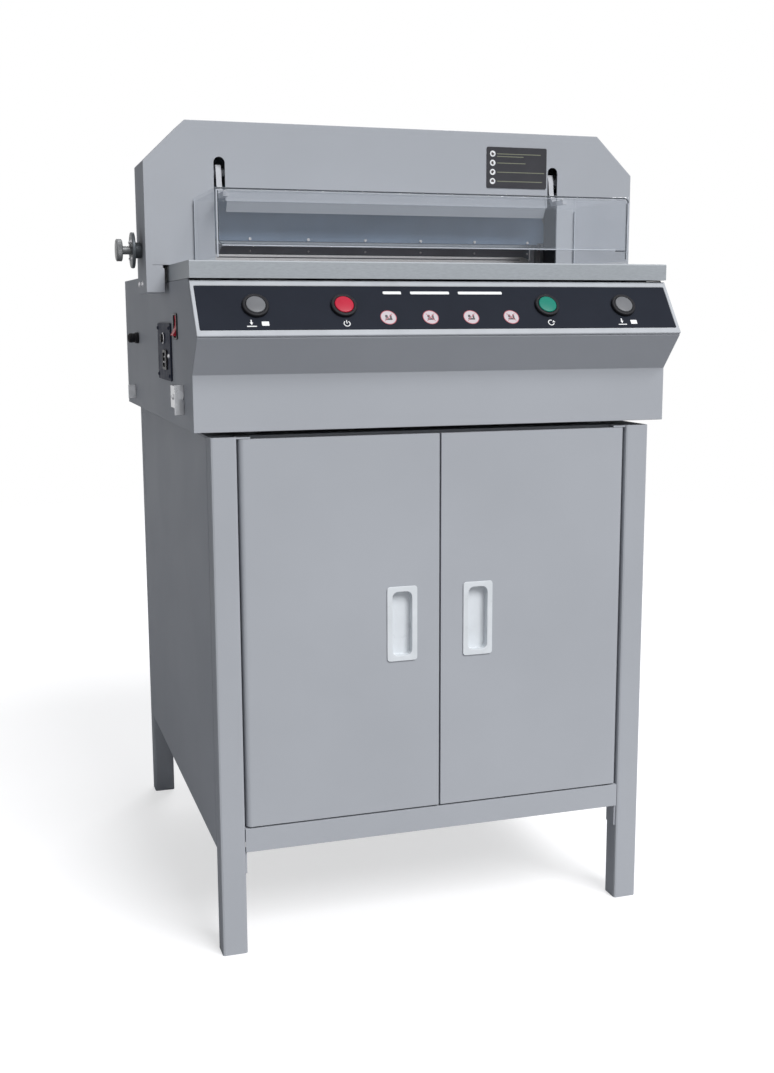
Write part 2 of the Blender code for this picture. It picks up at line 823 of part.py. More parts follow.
def stand_back_panel(paint, frame):
    """The sheet that closes the cabinet between the rear legs."""
    reach = leg_inner - FIT_GAP
    low = FLOOR_CLEARANCE
    high = STAND_HEIGHT - STAND_SHEET - FIT_GAP
    panel = box(-reach, reach, stand_back - STAND_SHEET, stand_back, low, high)
    for level in (low, high - STAND_SHEET):
        fold = box(
            -reach,
            reach,
            stand_back - PANEL_FOLD,
            stand_back - STAND_SHEET / 2,
            level,
            level + STAND_SHEET,
        )
        join(panel, fold)
    return finish(panel, "stand_back", paint, (0, stand_back, low), frame)


def cabinet_floor(paint, frame):
    """The cabinet's floor: an upturned tray that stands on the folds of the side panels."""
    reach = stand_half - STAND_SHEET - FIT_GAP
    front = stand_front + LEG_DEPTH + FIT_GAP
    back = stand_back - STAND_SHEET - FIT_GAP
    foot = FLOOR_CLEARANCE + STAND_SHEET + FIT_GAP
    tray = box(-reach, reach, front, back, foot, rail_top)
    hollow = box(
        -reach + STAND_SHEET,
        reach - STAND_SHEET,
        front + STAND_SHEET,
        back - STAND_SHEET,
        foot - OVERRUN,
        rail_top - STAND_SHEET,
    )
    cut(tray, hollow)
    for side in (-1, 1):
        corner = box(
            side * (leg_inner - FIT_GAP - SHELF_TAB_THICK),
            side * (stand_half + OVERRUN),
            stand_back - LEG_DEPTH - FIT_GAP,
            stand_back + OVERRUN,
            foot - OVERRUN,
            rail_top + OVERRUN,
        )
        cut(tray, corner)
    return finish(tray, "cabinet_floor", paint, (0, front, foot), frame)


def front_rail(paint, frame):
    """The rail below the doors: a channel whose top flange carries the lower door pins."""
    reach = leg_inner - FIT_GAP
    back = stand_front + LEG_DEPTH
    outline = [
        (stand_front, FLOOR_CLEARANCE),
        (stand_front, rail_top),
        (back, rail_top),
        (back, rail_top - STAND_SHEET),
        (stand_front + STAND_SHEET, rail_top - STAND_SHEET),
        (stand_front + STAND_SHEET, FLOOR_CLEARANCE + STAND_SHEET),
        (stand_front + PANEL_FOLD, FLOOR_CLEARANCE + STAND_SHEET),
        (stand_front + PANEL_FOLD, FLOOR_CLEARANCE),
    ]
    rail = prism(outline, "X", -reach, reach)
    for side in (-1, 1):
        hole = cylinder(
            "Z",
            (side * hinge_x, hinge_y),
            HINGE_PIN_RADIUS + RUN_GAP,
            rail_top - STAND_SHEET - OVERRUN,
            rail_top + OVERRUN,
            SMALL_SIDES,
        )
        cut(rail, hole)
    return finish(rail, "front_rail", paint, (0, stand_front, FLOOR_CLEARANCE), frame)


def stand_top(paint, frame):
    """The plate that closes the cabinet and carries the machine, its flange clear of the doors' swing."""
    low = STAND_HEIGHT - STAND_SHEET
    front = stand_top_front
    plate = box(-stand_half, stand_half, front, stand_back, low, STAND_HEIGHT)
    for side in (-1, 1):
        for y0, y1 in (
            (front - OVERRUN, stand_front + LEG_DEPTH + FIT_GAP),
            (stand_back - LEG_DEPTH - FIT_GAP, stand_back + OVERRUN),
        ):
            corner = box(
                side * (leg_inner - FIT_GAP),
                side * (stand_half + OVERRUN),
                y0,
                y1,
                low - OVERRUN,
                STAND_HEIGHT + OVERRUN,
            )
            cut(plate, corner)
    reach = leg_inner - FIT_GAP
    flange = box(-reach, reach, front, front + STAND_SHEET, STAND_HEIGHT - TOP_FLANGE, low + STAND_SHEET / 2)
    join(plate, flange)
    return finish(plate, "stand_top", paint, (0, front, low), frame)


def door_catch(plastic, frame):
    """The double magnet that holds both doors, screwed behind the top flange's lower edge."""
    front = door_back + HINGE_PLAY
    top = STAND_HEIGHT - TOP_FLANGE - FIT_GAP
    catch = box(-CATCH_WIDTH / 2, CATCH_WIDTH / 2, front, front + CATCH_DEPTH, top - CATCH_HEIGHT, top)
    bevel(catch, CATCH_ROUND, 1, upright_edge)
    return finish(catch, "door_catch", plastic, (0, front, top), frame)


def door(side, paint, axis_empty):
    """A door folded from one sheet, with a round hinge edge, its pocket's hole and its two pins."""
    meeting = side * DOOR_GAP / 2
    outer = side * door_outer
    turn = HINGE_INSET

    def mirrored(points):
        return [(side * x, y) for x, y in points]

    def pan_outline(inset):
        radius = turn - inset
        corner = arc((hinge_x, hinge_y), radius, 0, -90)
        return mirrored(
            [(door_outer - inset, door_back - inset if inset == 0 else door_back + OVERRUN)]
            + corner
            + [(abs(meeting) + inset, stand_front + inset)]
            + [(abs(meeting) + inset, door_back if inset == 0 else door_back + OVERRUN)]
        )

    pan = prism(pan_outline(0), "Z", door_bottom, door_top)
    cut(pan, prism(pan_outline(DOOR_SHEET), "Z", door_bottom + DOOR_SHEET, door_top - DOOR_SHEET))
    hole = prism(
        round_rectangle(
            (side * HANDLE_FROM_MIDDLE, handle_level),
            POCKET_WIDTH + 2 * (POCKET_WALL + FIT_GAP),
            POCKET_HEIGHT + 2 * (POCKET_WALL + FIT_GAP),
            POCKET_ROUND + POCKET_WALL,
        ),
        "Y",
        stand_front - OVERRUN,
        stand_front + DOOR_SHEET + OVERRUN,
    )
    cut(pan, hole)
    lower_pin = cylinder(
        "Z",
        (side * hinge_x, hinge_y),
        HINGE_PIN_RADIUS,
        rail_top - STAND_SHEET,
        door_bottom + DOOR_SHEET * 2,
        SMALL_SIDES,
    )
    upper_pin = cylinder(
        "Z",
        (side * hinge_x, hinge_y),
        HINGE_PIN_RADIUS,
        door_top - DOOR_SHEET * 2,
        door_top + HINGE_PLAY + HINGE_TAB_THICK,
        SMALL_SIDES,
    )
    join(pan, lower_pin, upper_pin)
    name = "door_" + ("right" if side > 0 else "left")
    return finish(pan, name, paint, (side * hinge_x, hinge_y, door_bottom), axis_empty)


def door_handle(side, plastic, axis_empty):
    """A moulded pocket handle: a flange on the door's face and a cup let in behind it."""
    middle = (side * HANDLE_FROM_MIDDLE, handle_level)
    flange_back = stand_front - FIT_GAP
    flange_front = flange_back - HANDLE_PROUD
    cup_back = flange_front + POCKET_DEPTH + POCKET_WALL
    flange = prism(
        round_rectangle(middle, HANDLE_WIDTH, HANDLE_HEIGHT, HANDLE_ROUND),
        "Y",
        flange_front,
        flange_back,
    )
    cup = prism(
        round_rectangle(
            middle,
            POCKET_WIDTH + 2 * POCKET_WALL,
            POCKET_HEIGHT + 2 * POCKET_WALL,
            POCKET_ROUND + POCKET_WALL,
        ),
        "Y",
        flange_front + HANDLE_PROUD / 2,
        cup_back,
    )
    join(flange, cup)
    pocket = prism(
        round_rectangle(middle, POCKET_WIDTH, POCKET_HEIGHT, POCKET_ROUND),
        "Y",
        flange_front - OVERRUN,
        flange_front + POCKET_DEPTH,
    )
    cut(flange, pocket)
    name = "handle_" + ("right" if side > 0 else "left")
    return finish(flange, name, plastic, (middle[0], stand_front, middle[1]), axis_empty)


def front_profile():
    """The housing front's outer line in (Y, Z): lower band, overhang and the leaning panel's sheet."""
    foot = Vector((0, body_bottom))
    fold = Vector((0, fold_level))
    overhang = (nose - fold).normalized()
    seat = nose - panel_out * BEZEL_THICK
    cross = overhang.x * panel_up.y - overhang.y * panel_up.x
    gap = seat - fold
    along = (gap.x * panel_up.y - gap.y * panel_up.x) / cross
    corner = fold + overhang * along
    end = panel_end - panel_out * BEZEL_THICK
    return [foot, fold, corner, end]


def on_panel(up, depth):
    """A point of the leaning panel in (Y, Z): up from the nose and outwards from the bezel's face."""
    return nose + panel_up * up + panel_out * depth


def panel_solid(x0, x1, low, high, inner, outer):
    """A box in the panel's own lean: across, up the panel and out of it."""
    outline = [
        on_panel(low, inner),
        on_panel(high, inner),
        on_panel(high, outer),
        on_panel(low, outer),
    ]
    return prism(outline, "X", x0, x1)


def panel_round(x, up, profile, sides=ROUND_SIDES):
    """A turned piece that stands square on the panel. Profile: (outwards, radius) points."""
    piece = turned(profile, "Z", (0, 0), sides)
    foot = on_panel(up, 0)
    lean = math.atan2(-panel_out.x, panel_out.y)
    piece.data.transform(Matrix.Translation((x, foot.x, foot.y)) @ Matrix.Rotation(lean, 4, "X"))
    return piece


def button_necks():
    """Cutters for the four holes that the collars' necks pass through."""
    radius = COLLAR_NECK_RADIUS + FIT_GAP
    return [
        panel_round(x, BUTTON_UP_PANEL, [(-COLLAR_DEPTH, radius), (COLLAR_DEPTH, radius)])
        for x in BUTTON_PLACES.values()
    ]


def housing_front(paint, frame):
    """The front sheet, folded at the overhang and again below the control panel."""
    outer = front_profile()
    sheet = prism(outer + offset_path(outer, BODY_SHEET)[::-1], "X", -body_half, body_half)
    cut(sheet, *button_necks())
    return finish(sheet, "housing_front", paint, (0, 0, body_bottom), frame)


def housing_side(side, paint, frame):
    """A side plate that follows the front's fold, steps up behind the head and folds in as a deck."""
    inside = offset_path(front_profile(), BODY_SHEET + FIT_GAP)
    under_table = table_bottom - FIT_GAP
    top_front = line_at_height(inside[-1], panel_up, under_table)
    back = BODY_DEPTH - BODY_SHEET - FIT_GAP
    deck_front = head_back + BODY_SHEET
    outline = [tuple(point) for point in inside[:-1]] + [
        tuple(top_front),
        (deck_front, under_table),
        (deck_front, deck_top),
        (back, deck_top),
        (back, body_bottom),
    ]
    plate = prism(outline, "X", side * side_inner, side * body_half)
    deck = box(
        side * (REAR_TABLE_WIDTH / 2 + DECK_GAP),
        side * (body_half - BODY_SHEET / 2),
        deck_front,
        back,
        deck_top - BODY_SHEET,
        deck_top,
    )
    join(plate, deck)
    if side < 0:
        switch_hole = box(
            switch_seat - OVERRUN,
            -side_inner + OVERRUN,
            SWITCH_PLACE - SWITCH_CASE_WIDTH / 2 - FIT_GAP,
            SWITCH_PLACE + SWITCH_CASE_WIDTH / 2 + FIT_GAP,
            switch_level - SWITCH_CASE_HEIGHT / 2 - FIT_GAP,
            switch_level + SWITCH_CASE_HEIGHT / 2 + FIT_GAP,
        )
        cut(plate, switch_hole)
    name = "housing_side_" + ("right" if side > 0 else "left")
    return finish(plate, name, paint, (side * body_half, 0, body_bottom), frame)


def rear_panel(paint, frame):
    """The rear sheet with its vents, the screw's hole and a fold behind the rear table."""
    y0 = BODY_DEPTH - BODY_SHEET
    panel = box(-body_half, body_half, y0, BODY_DEPTH, body_bottom, deck_top)
    fold = box(
        -REAR_TABLE_WIDTH / 2,
        REAR_TABLE_WIDTH / 2,
        rear_table_end + FIT_GAP,
        BODY_DEPTH - BODY_SHEET / 2,
        deck_top - BODY_SHEET,
        deck_top,
    )
    join(panel, fold)
    hole = cylinder(
        "Y",
        (OPENING_SHIFT, gauge_axis_level),
        SCREW_RADIUS + RUN_GAP,
        y0 - OVERRUN,
        BODY_DEPTH + OVERRUN,
        SMALL_SIDES,
    )
    cut(panel, hole)
    for bank in (-1, 1):
        middle = bank * VENT_WIDTH
        for row in range(VENT_COUNT):
            level = body_bottom + VENT_RISE + row * VENT_PITCH
            half = VENT_WIDTH / 2 - VENT_PITCH
            vent = prism(
                slot_outline((middle - half, level), (middle + half, level), VENT_HEIGHT / 2, 2),
                "Y",
                y0 - OVERRUN,
                BODY_DEPTH + OVERRUN,
            )
            cut(panel, vent)
    return finish(panel, "rear_panel", paint, (0, BODY_DEPTH, body_bottom), frame)


def base_frame(steel, frame):
    """The bottom plate with bosses that stand on the cabinet and posts that carry the worktop."""
    reach = side_inner - FIT_GAP
    front = BODY_SHEET + FIT_GAP
    back = BODY_DEPTH - BODY_SHEET - FIT_GAP
    plate = box(-reach, reach, front, back, body_bottom, base_top)
    sink = BASE_PLATE / 2
    for side in (-1, 1):
        for y in (stand_front + BOSS_INSET, stand_back - BOSS_INSET):
            boss = cylinder(
                "Z",
                (side * (stand_half - BOSS_INSET), y),
                BOSS_RADIUS,
                STAND_HEIGHT + FIT_GAP,
                body_bottom + sink,
                SMALL_SIDES,
            )
            join(plate, boss)
        posts = (
            (side * (body_half - POST_FROM_SIDE), POST_FROM_FRONT),
            (side * REAR_POST_FROM_MIDDLE, BODY_DEPTH - REAR_POST_FROM_REAR),
        )
        for x, y in posts:
            half = POST_SIZE / 2
            post = box(x - half, x + half, y - half, y + half, base_top - sink, table_bottom - FIT_GAP)
            join(plate, post)
    return finish(plate, "base_frame", steel, (0, front, body_bottom), frame)


def panel_bezel(paint, frame):
    """The pale frame round the control panel, with a soft outer edge."""
    frame_piece = panel_solid(-body_half, body_half, 0, panel_length, -BEZEL_THICK + FIT_GAP, 0)
    window = panel_solid(
        -body_half + BEZEL_SIDE,
        body_half - BEZEL_SIDE,
        BEZEL_EDGE,
        panel_length - BEZEL_EDGE,
        -BEZEL_THICK - OVERRUN,
        OVERRUN,
    )
    cut(frame_piece, window)
    foot = on_panel(0, 0)
    return finish(frame_piece, "panel_bezel", paint, (0, foot.x, foot.y), frame)


def panel_overlay(plastic, frame):
    """The dark plate in the bezel's window, bored for the button collars."""
    plate = panel_solid(
        -body_half + BEZEL_SIDE + FIT_GAP,
        body_half - BEZEL_SIDE - FIT_GAP,
        BEZEL_EDGE + FIT_GAP,
        panel_length - BEZEL_EDGE - FIT_GAP,
        -BEZEL_THICK + FIT_GAP,
        -OVERLAY_SUNK,
    )
    cut(plate, *button_necks())
    foot = on_panel(BEZEL_EDGE, 0)
    return finish(plate, "panel_overlay", plastic, (0, foot.x, foot.y), frame)


def button_collar(name, x, plastic, frame):
    """The black ring round a push button and the neck that holds it in the panel."""
    seat = -OVERLAY_SUNK + FIT_GAP
    collar = panel_round(x, BUTTON_UP_PANEL, [
        (-COLLAR_DEPTH, COLLAR_NECK_RADIUS),
        (seat, COLLAR_NECK_RADIUS),
        (seat, COLLAR_RADIUS),
        (COLLAR_RISE - COLLAR_CHAMFER_WIDTH, COLLAR_RADIUS),
        (COLLAR_RISE, COLLAR_RADIUS - COLLAR_CHAMFER_WIDTH),
    ])
    bore = panel_round(x, BUTTON_UP_PANEL, [
        (-COLLAR_DEPTH - OVERRUN, BUTTON_RADIUS + RUN_GAP),
        (COLLAR_RISE + OVERRUN, BUTTON_RADIUS + RUN_GAP),
    ])
    cut(collar, bore)
    foot = on_panel(BUTTON_UP_PANEL, 0)
    return finish(collar, "collar_" + name, plastic, (x, foot.x, foot.y), frame)


def button(name, x, plastic, axis_empty):
    """A push button with a slightly domed cap."""
    cap = panel_round(x, BUTTON_UP_PANEL, [
        (BUTTON_RISE - BUTTON_DEPTH, BUTTON_RADIUS),
        (BUTTON_RISE - BUTTON_DOME_RISE, BUTTON_RADIUS),
        (BUTTON_RISE - BUTTON_DOME_RISE * BUTTON_SHOULDER_SHARE, BUTTON_RADIUS - BUTTON_DOME_RISE),
        (BUTTON_RISE, BUTTON_RADIUS * BUTTON_CROWN_SHARE),
    ])
    foot = on_panel(BUTTON_UP_PANEL, 0)
    return finish(cap, "button_" + name, plastic, (x, foot.x, foot.y), axis_empty)


def worktop(iron, frame):
    """The cast table: wide under the head, narrower behind, with its grooves and the screw's lug."""
    rear_half = REAR_TABLE_WIDTH / 2
    outline = [
        (-body_half, TABLE_FRONT),
        (body_half, TABLE_FRONT),
        (body_half, head_back),
        (rear_half, head_back),
        (rear_half, rear_table_end),
        (-rear_half, rear_table_end),
        (-rear_half, head_back),
        (-body_half, head_back),
    ]
    table = prism(outline, "Z", table_bottom, table_top)

    def top_front(start, end):
        level = (start.z + end.z) / 2 > table_top - FIT_GAP
        return level and max(start.y, end.y) < TABLE_FRONT + FIT_GAP

    bevel(table, TABLE_EDGE, 2, top_front)
    stick_front = blade_back - STICK_WIDTH / 2
    groove = box(
        OPENING_SHIFT - STICK_LENGTH / 2 - FIT_GAP,
        OPENING_SHIFT + STICK_LENGTH / 2 + FIT_GAP,
        stick_front - FIT_GAP,
        stick_front + STICK_WIDTH + FIT_GAP,
        table_top - STICK_DEPTH - FIT_GAP,
        table_top + OVERRUN,
    )
    rod_hole = box(
        rod_left - YOKE_CLEARANCE,
        rod_right + knife_draw + YOKE_CLEARANCE,
        rod_front - YOKE_CLEARANCE,
        rod_back + YOKE_CLEARANCE,
        table_bottom - OVERRUN,
        table_top + OVERRUN,
    )
    gauge_slot = prism(
        slot_outline(
            (OPENING_SHIFT, slot_start),
            (OPENING_SHIFT, rear_table_end - GAUGE_SLOT_WIDTH),
            GAUGE_SLOT_WIDTH / 2,
        ),
        "Z",
        table_bottom - OVERRUN,
        table_top + OVERRUN,
    )
    cut(table, groove, rod_hole, gauge_slot)
    lug = box(
        OPENING_SHIFT - SCREW_LUG_WIDTH / 2,
        OPENING_SHIFT + SCREW_LUG_WIDTH / 2,
        screw_lug_back - SCREW_LUG_THICK,
        screw_lug_back,
        gauge_axis_level - SCREW_LUG_WIDTH / 2,
        table_bottom + TABLE_EDGE,
    )
    hole = cylinder(
        "Y",
        (OPENING_SHIFT, gauge_axis_level),
        SCREW_RADIUS + RUN_GAP,
        screw_lug_back - SCREW_LUG_THICK - OVERRUN,
        screw_lug_back + OVERRUN,
        SMALL_SIDES,
    )
    cut(lug, hole)
    join(table, lug)
    return finish(table, "worktop", iron, (0, TABLE_FRONT, table_top), frame)


def cutting_stick(plastic, frame):
    """The replaceable plastic strip that the blade's edge meets."""
    front = blade_back - STICK_WIDTH / 2
    stick = box(
        OPENING_SHIFT - STICK_LENGTH / 2,
        OPENING_SHIFT + STICK_LENGTH / 2,
        front,
        front + STICK_WIDTH,
        table_top - STICK_DEPTH,
        table_top,
    )
    return finish(stick, "cutting_stick", plastic, (OPENING_SHIFT, front, table_top), frame)


def head_outline(inset):
    """The head's portal outline in (X, Z), drawn in from its outer faces by an inset."""
    half = head_half - inset
    slope = math.hypot(CHAMFER_RUN, CHAMFER_DROP)
    run = CHAMFER_RUN + inset * (slope - CHAMFER_RUN - CHAMFER_DROP) / CHAMFER_DROP
    drop = CHAMFER_DROP + inset * (slope - CHAMFER_RUN - CHAMFER_DROP) / CHAMFER_RUN
    top = head_top - inset
    shoulder = top - drop
    return half, run, shoulder, top


def head_wrap(paint, frame):
    """The cover's sides, shoulders and top, folded from one sheet, with a lip front and back."""
    half, run, shoulder, top = head_outline(0)
    foot_in = head_half - HEAD_FOOT_WIDTH
    foot_top = table_top
    outer = [
        (-half, head_foot_bottom),
        (-half, shoulder),
        (-half + run, top),
        (half - run, top),
        (half, shoulder),
        (half, head_foot_bottom),
        (foot_in, head_foot_bottom),
        (foot_in, foot_top),
        (-foot_in, foot_top),
        (-foot_in, head_foot_bottom),
    ]
    wrap = prism(outer, "Y", head_face, head_back)
    in_half, in_run, in_shoulder, in_top = head_outline(HEAD_SHEET)
    low = head_foot_bottom + HEAD_SHEET
    cavity = prism(
        [
            (-in_half, low),
            (-in_half, in_shoulder),
            (-in_half + in_run, in_top),
            (in_half - in_run, in_top),
            (in_half, in_shoulder),
            (in_half, low),
            (foot_in + HEAD_SHEET, low),
            (foot_in + HEAD_SHEET, foot_top + HEAD_SHEET),
            (-foot_in - HEAD_SHEET, foot_top + HEAD_SHEET),
            (-foot_in - HEAD_SHEET, low),
        ],
        "Y",
        face_inner,
        back_inner,
    )
    cut(wrap, cavity)
    lip_half, lip_run, lip_shoulder, lip_top = head_outline(HEAD_LIP)
    window = prism(
        [
            (-lip_half, foot_top),
            (-lip_half, lip_shoulder),
            (-lip_half + lip_run, lip_top),
            (lip_half - lip_run, lip_top),
            (lip_half, lip_shoulder),
            (lip_half, foot_top),
        ],
        "Y",
        head_face - OVERRUN,
        head_back + OVERRUN,
    )
    floor_gap = box(
        -foot_in - HEAD_SHEET,
        foot_in + HEAD_SHEET,
        head_face - OVERRUN,
        head_back + OVERRUN,
        foot_top - OVERRUN,
        foot_top + HEAD_SHEET * 2,
    )
    shaft_hole = cylinder(
        "X",
        (adjuster_y, adjuster_level),
        ADJUSTER_SHAFT_RADIUS + RUN_GAP,
        -head_half - OVERRUN,
        -head_half + OVERRUN,
        SMALL_SIDES,
    )
    cut(wrap, window, floor_gap, shaft_hole)
    return finish(wrap, "head_wrap", paint, (0, head_face, head_foot_bottom), frame)


def portal_plate(y0, y1, top_level, inset):
    """A plate that fills the wrap's window, cut through for the opening less an inset each side."""
    half, run, shoulder, top = head_outline(HEAD_LIP + FIT_GAP)
    bottom = table_top + FIT_GAP
    plate = prism(
        [
            (-half, bottom),
            (-half, shoulder),
            (-half + run, top),
            (half - run, top),
            (half, shoulder),
            (half, bottom),
        ],
        "Y",
        y0,
        y1,
    )
    doorway = box(
        opening_left + inset,
        opening_right - inset,
        y0 - OVERRUN,
        y1 + OVERRUN,
        bottom - OVERRUN,
        top_level,
    )
    return cut(plate, doorway)


def head_front(paint, frame):
    """The cover's face: the opening with its turned-in edges and the two notches for the guard."""
    plate = portal_plate(head_face, face_inner, opening_top, 0)
    notch_radius = NOTCH_WIDTH / 2
    for side in (-1, 1):
        x = OPENING_SHIFT + side * notch_from_middle
        notch = prism(
            slot_outline(
                (x, opening_top - NOTCH_WIDTH),
                (x, notch_top - notch_radius),
                notch_radius,
            ),
            "Y",
            head_face - OVERRUN,
            face_inner + OVERRUN,
        )
        cut(plate, notch)
        edge = OPENING_SHIFT + side * opening_half
        turned_in = box(
            edge,
            edge + side * HEAD_SHEET,
            head_face + HEAD_SHEET / 2,
            face_inner + RETURN_DEPTH,
            table_top + FIT_GAP,
            table_top + RETURN_HEIGHT,
        )
        join(plate, turned_in)
    lip_start = (head_face + HEAD_SHEET / 2, opening_top + HEAD_SHEET / 2)
    lip_end = (face_inner + OPENING_LIP_RUN, opening_top - OPENING_LIP_DROP)
    lip = prism(
        strip_outline([lip_start, lip_end], HEAD_SHEET),
        "X",
        opening_left + NOTCH_WIDTH + HEAD_SHEET,
        opening_right - NOTCH_WIDTH - HEAD_SHEET,
    )
    join(plate, lip)
    return finish(plate, "head_front", paint, (OPENING_SHIFT, head_face, table_top), frame)


def head_rear(paint, frame):
    """The cover's back plate, open over the rear table."""
    plate = portal_plate(back_inner, head_back, table_top + REAR_OPENING_HEIGHT, REAR_OPENING_INSET)
    return finish(plate, "head_rear", paint, (OPENING_SHIFT, head_back, table_top), frame)


def head_frame(iron, frame):
    """The cast frame inside the cover: two uprights, their tie, the knife's guide pins and the lugs."""
    foot = table_top + FIT_GAP
    left_out = OPENING_SHIFT - upright_out
    left_in = OPENING_SHIFT - upright_in
    right_in = OPENING_SHIFT + upright_in
    right_out = OPENING_SHIFT + upright_out
    foot_top = foot + UPRIGHT_FOOT_THICK
    outline = [
        (left_out - UPRIGHT_FOOT, foot),
        (left_in, foot),
        (left_in, tie_bottom),
        (right_in, tie_bottom),
        (right_in, foot),
        (right_out + UPRIGHT_FOOT, foot),
        (right_out + UPRIGHT_FOOT, foot_top),
        (right_out, foot_top),
        (right_out, upright_top),
        (right_in, upright_top),
        (right_in, tie_top),
        (left_in, tie_top),
        (left_in, upright_top),
        (left_out, upright_top),
        (left_out, foot_top),
        (left_out - UPRIGHT_FOOT, foot_top),
    ]
    casting = prism(outline, "Y", upright_front, upright_back)
    for side in (-1, 1):
        lug_in = OPENING_SHIFT + side * (upright_in + LUG_INSET)
        lug_out = OPENING_SHIFT + side * (upright_out - LUG_INSET)
        lug_back = upright_front + UPRIGHT_CLEAR
        round_end = arc((pivot_y, pivot_level), LUG_HEIGHT / 2, 90, 270, 2 * ARC_STEPS)
        lug_outline = round_end + [
            (lug_back, pivot_level - LUG_HEIGHT / 2),
            (lug_back, pivot_level + LUG_HEIGHT / 2),
        ]
        lug = prism(lug_outline, "X", lug_in, lug_out)
        lug_hole = cylinder(
            "X",
            (pivot_y, pivot_level),
            GUARD_SHAFT_RADIUS + RUN_GAP,
            lug_in - side * OVERRUN,
            lug_out + side * OVERRUN,
            SMALL_SIDES,
        )
        pin_x = OPENING_SHIFT + side * guide_from_middle
        head_start = bar_front - BAR_CLEAR - GUIDE_HEAD_THICK
        pin = turned(
            [
                (head_start, GUIDE_HEAD_RADIUS),
                (bar_front - BAR_CLEAR, GUIDE_HEAD_RADIUS),
                (bar_front - BAR_CLEAR, GUIDE_PIN_RADIUS),
                (upright_front + UPRIGHT_CLEAR, GUIDE_PIN_RADIUS),
            ],
            "Y",
            (pin_x, guide_level),
            SMALL_SIDES,
        )
        join(casting, cut(lug, lug_hole), pin)
        rod_hole = cylinder(
            "Z",
            (OPENING_SHIFT + side * CLAMP_ROD_FROM_MIDDLE, clamp_front + CLAMP_THICK / 2),
            CLAMP_ROD_RADIUS + RUN_GAP,
            tie_bottom - OVERRUN,
            tie_top + OVERRUN,
            SMALL_SIDES,
        )
        cut(casting, rod_hole)
    return finish(casting, "head_frame", iron, (OPENING_SHIFT, upright_front, foot), frame)


def knife_beam(iron, axis_empty):
    """The bar that carries the blade: two slanting guide slots and the six blade bolts."""
    bar = box(bar_left, bar_right, bar_front, bar_back, bar_bottom, bar_top)
    for side in (-1, 1):
        x = OPENING_SHIFT + side * guide_from_middle
        slot = prism(
            slot_outline(
                (x, guide_level),
                (x - knife_draw, guide_level + knife_drop),
                GUIDE_PIN_RADIUS + RUN_GAP,
                ARC_STEPS * 2,
            ),
            "Y",
            bar_front - OVERRUN,
            bar_back + OVERRUN,
        )
        cut(bar, slot)
    first = OPENING_SHIFT + BOLT_SHIFT - BOLT_SPACING * (KNIFE_BOLTS - 1) / 2
    for number in range(KNIFE_BOLTS):
        bolt = turned(
            [
                (bar_front - BOLT_HEAD, BOLT_RADIUS * BOLT_CROWN_SHARE),
                (bar_front - BOLT_HEAD * BOLT_SHOULDER_SHARE, BOLT_RADIUS),
                (bar_front + BAR_THICK / 2, BOLT_RADIUS),
            ],
            "Y",
            (first + number * BOLT_SPACING, blade_edge + BOLT_RISE),
            12,
        )
        join(bar, bolt)
    return finish(bar, "knife_beam", iron, (OPENING_SHIFT, bar_front, bar_bottom), axis_empty)


def knife_blade(steel, axis_empty):
    """The blade, flat behind and ground to its edge from the front."""
    outline = [
        (blade_back, blade_edge),
        (blade_back, blade_edge + BLADE_HEIGHT),
        (blade_front, blade_edge + BLADE_HEIGHT),
        (blade_front, blade_edge + BLADE_BEVEL),
        (blade_back - BLADE_LAND, blade_edge),
    ]
    blade = prism(
        outline,
        "X",
        OPENING_SHIFT - BLADE_LENGTH / 2,
        OPENING_SHIFT + BLADE_LENGTH / 2,
    )
    return finish(blade, "knife_blade", steel, (OPENING_SHIFT, blade_back, blade_edge), axis_empty)


def pull_rod(steel, axis_empty):
    """The rod that pulls the knife beam down, with the yoke that the crank pin runs in."""
    top = bar_top - ROD_CLEAR
    yoke_high = CRANK_PIN_RADIUS + YOKE_CLEARANCE + YOKE_WALL
    rod = box(rod_left, rod_right, rod_front, rod_back, yoke_level, top)
    yoke = prism(
        round_rectangle((yoke_middle, yoke_level), 2 * yoke_half, 2 * yoke_high, YOKE_WALL),
        "Y",
        rod_front,
        rod_back,
    )
    join(rod, yoke)
    reach = yoke_slot_half
    slot = prism(
        slot_outline(
            (yoke_middle - reach, yoke_level),
            (yoke_middle + reach, yoke_level),
            CRANK_PIN_RADIUS + YOKE_CLEARANCE,
            ARC_STEPS * 2,
        ),
        "Y",
        rod_front - OVERRUN,
        rod_back + OVERRUN,
    )
    cut(rod, slot)
    middle = (rod_left + rod_right) / 2
    for number in range(2):
        level = top - ROD_BOLT_DROP - number * ROD_BOLT_PITCH
        bolt = cylinder(
            "Y",
            (middle, level),
            ROD_BOLT_RADIUS,
            rod_front - ROD_BOLT_RADIUS,
            rod_front + ROD_BOLT_RADIUS,
            6,
        )
        join(rod, bolt)
    return finish(rod, "pull_rod", steel, (middle, rod_front, yoke_level), axis_empty)


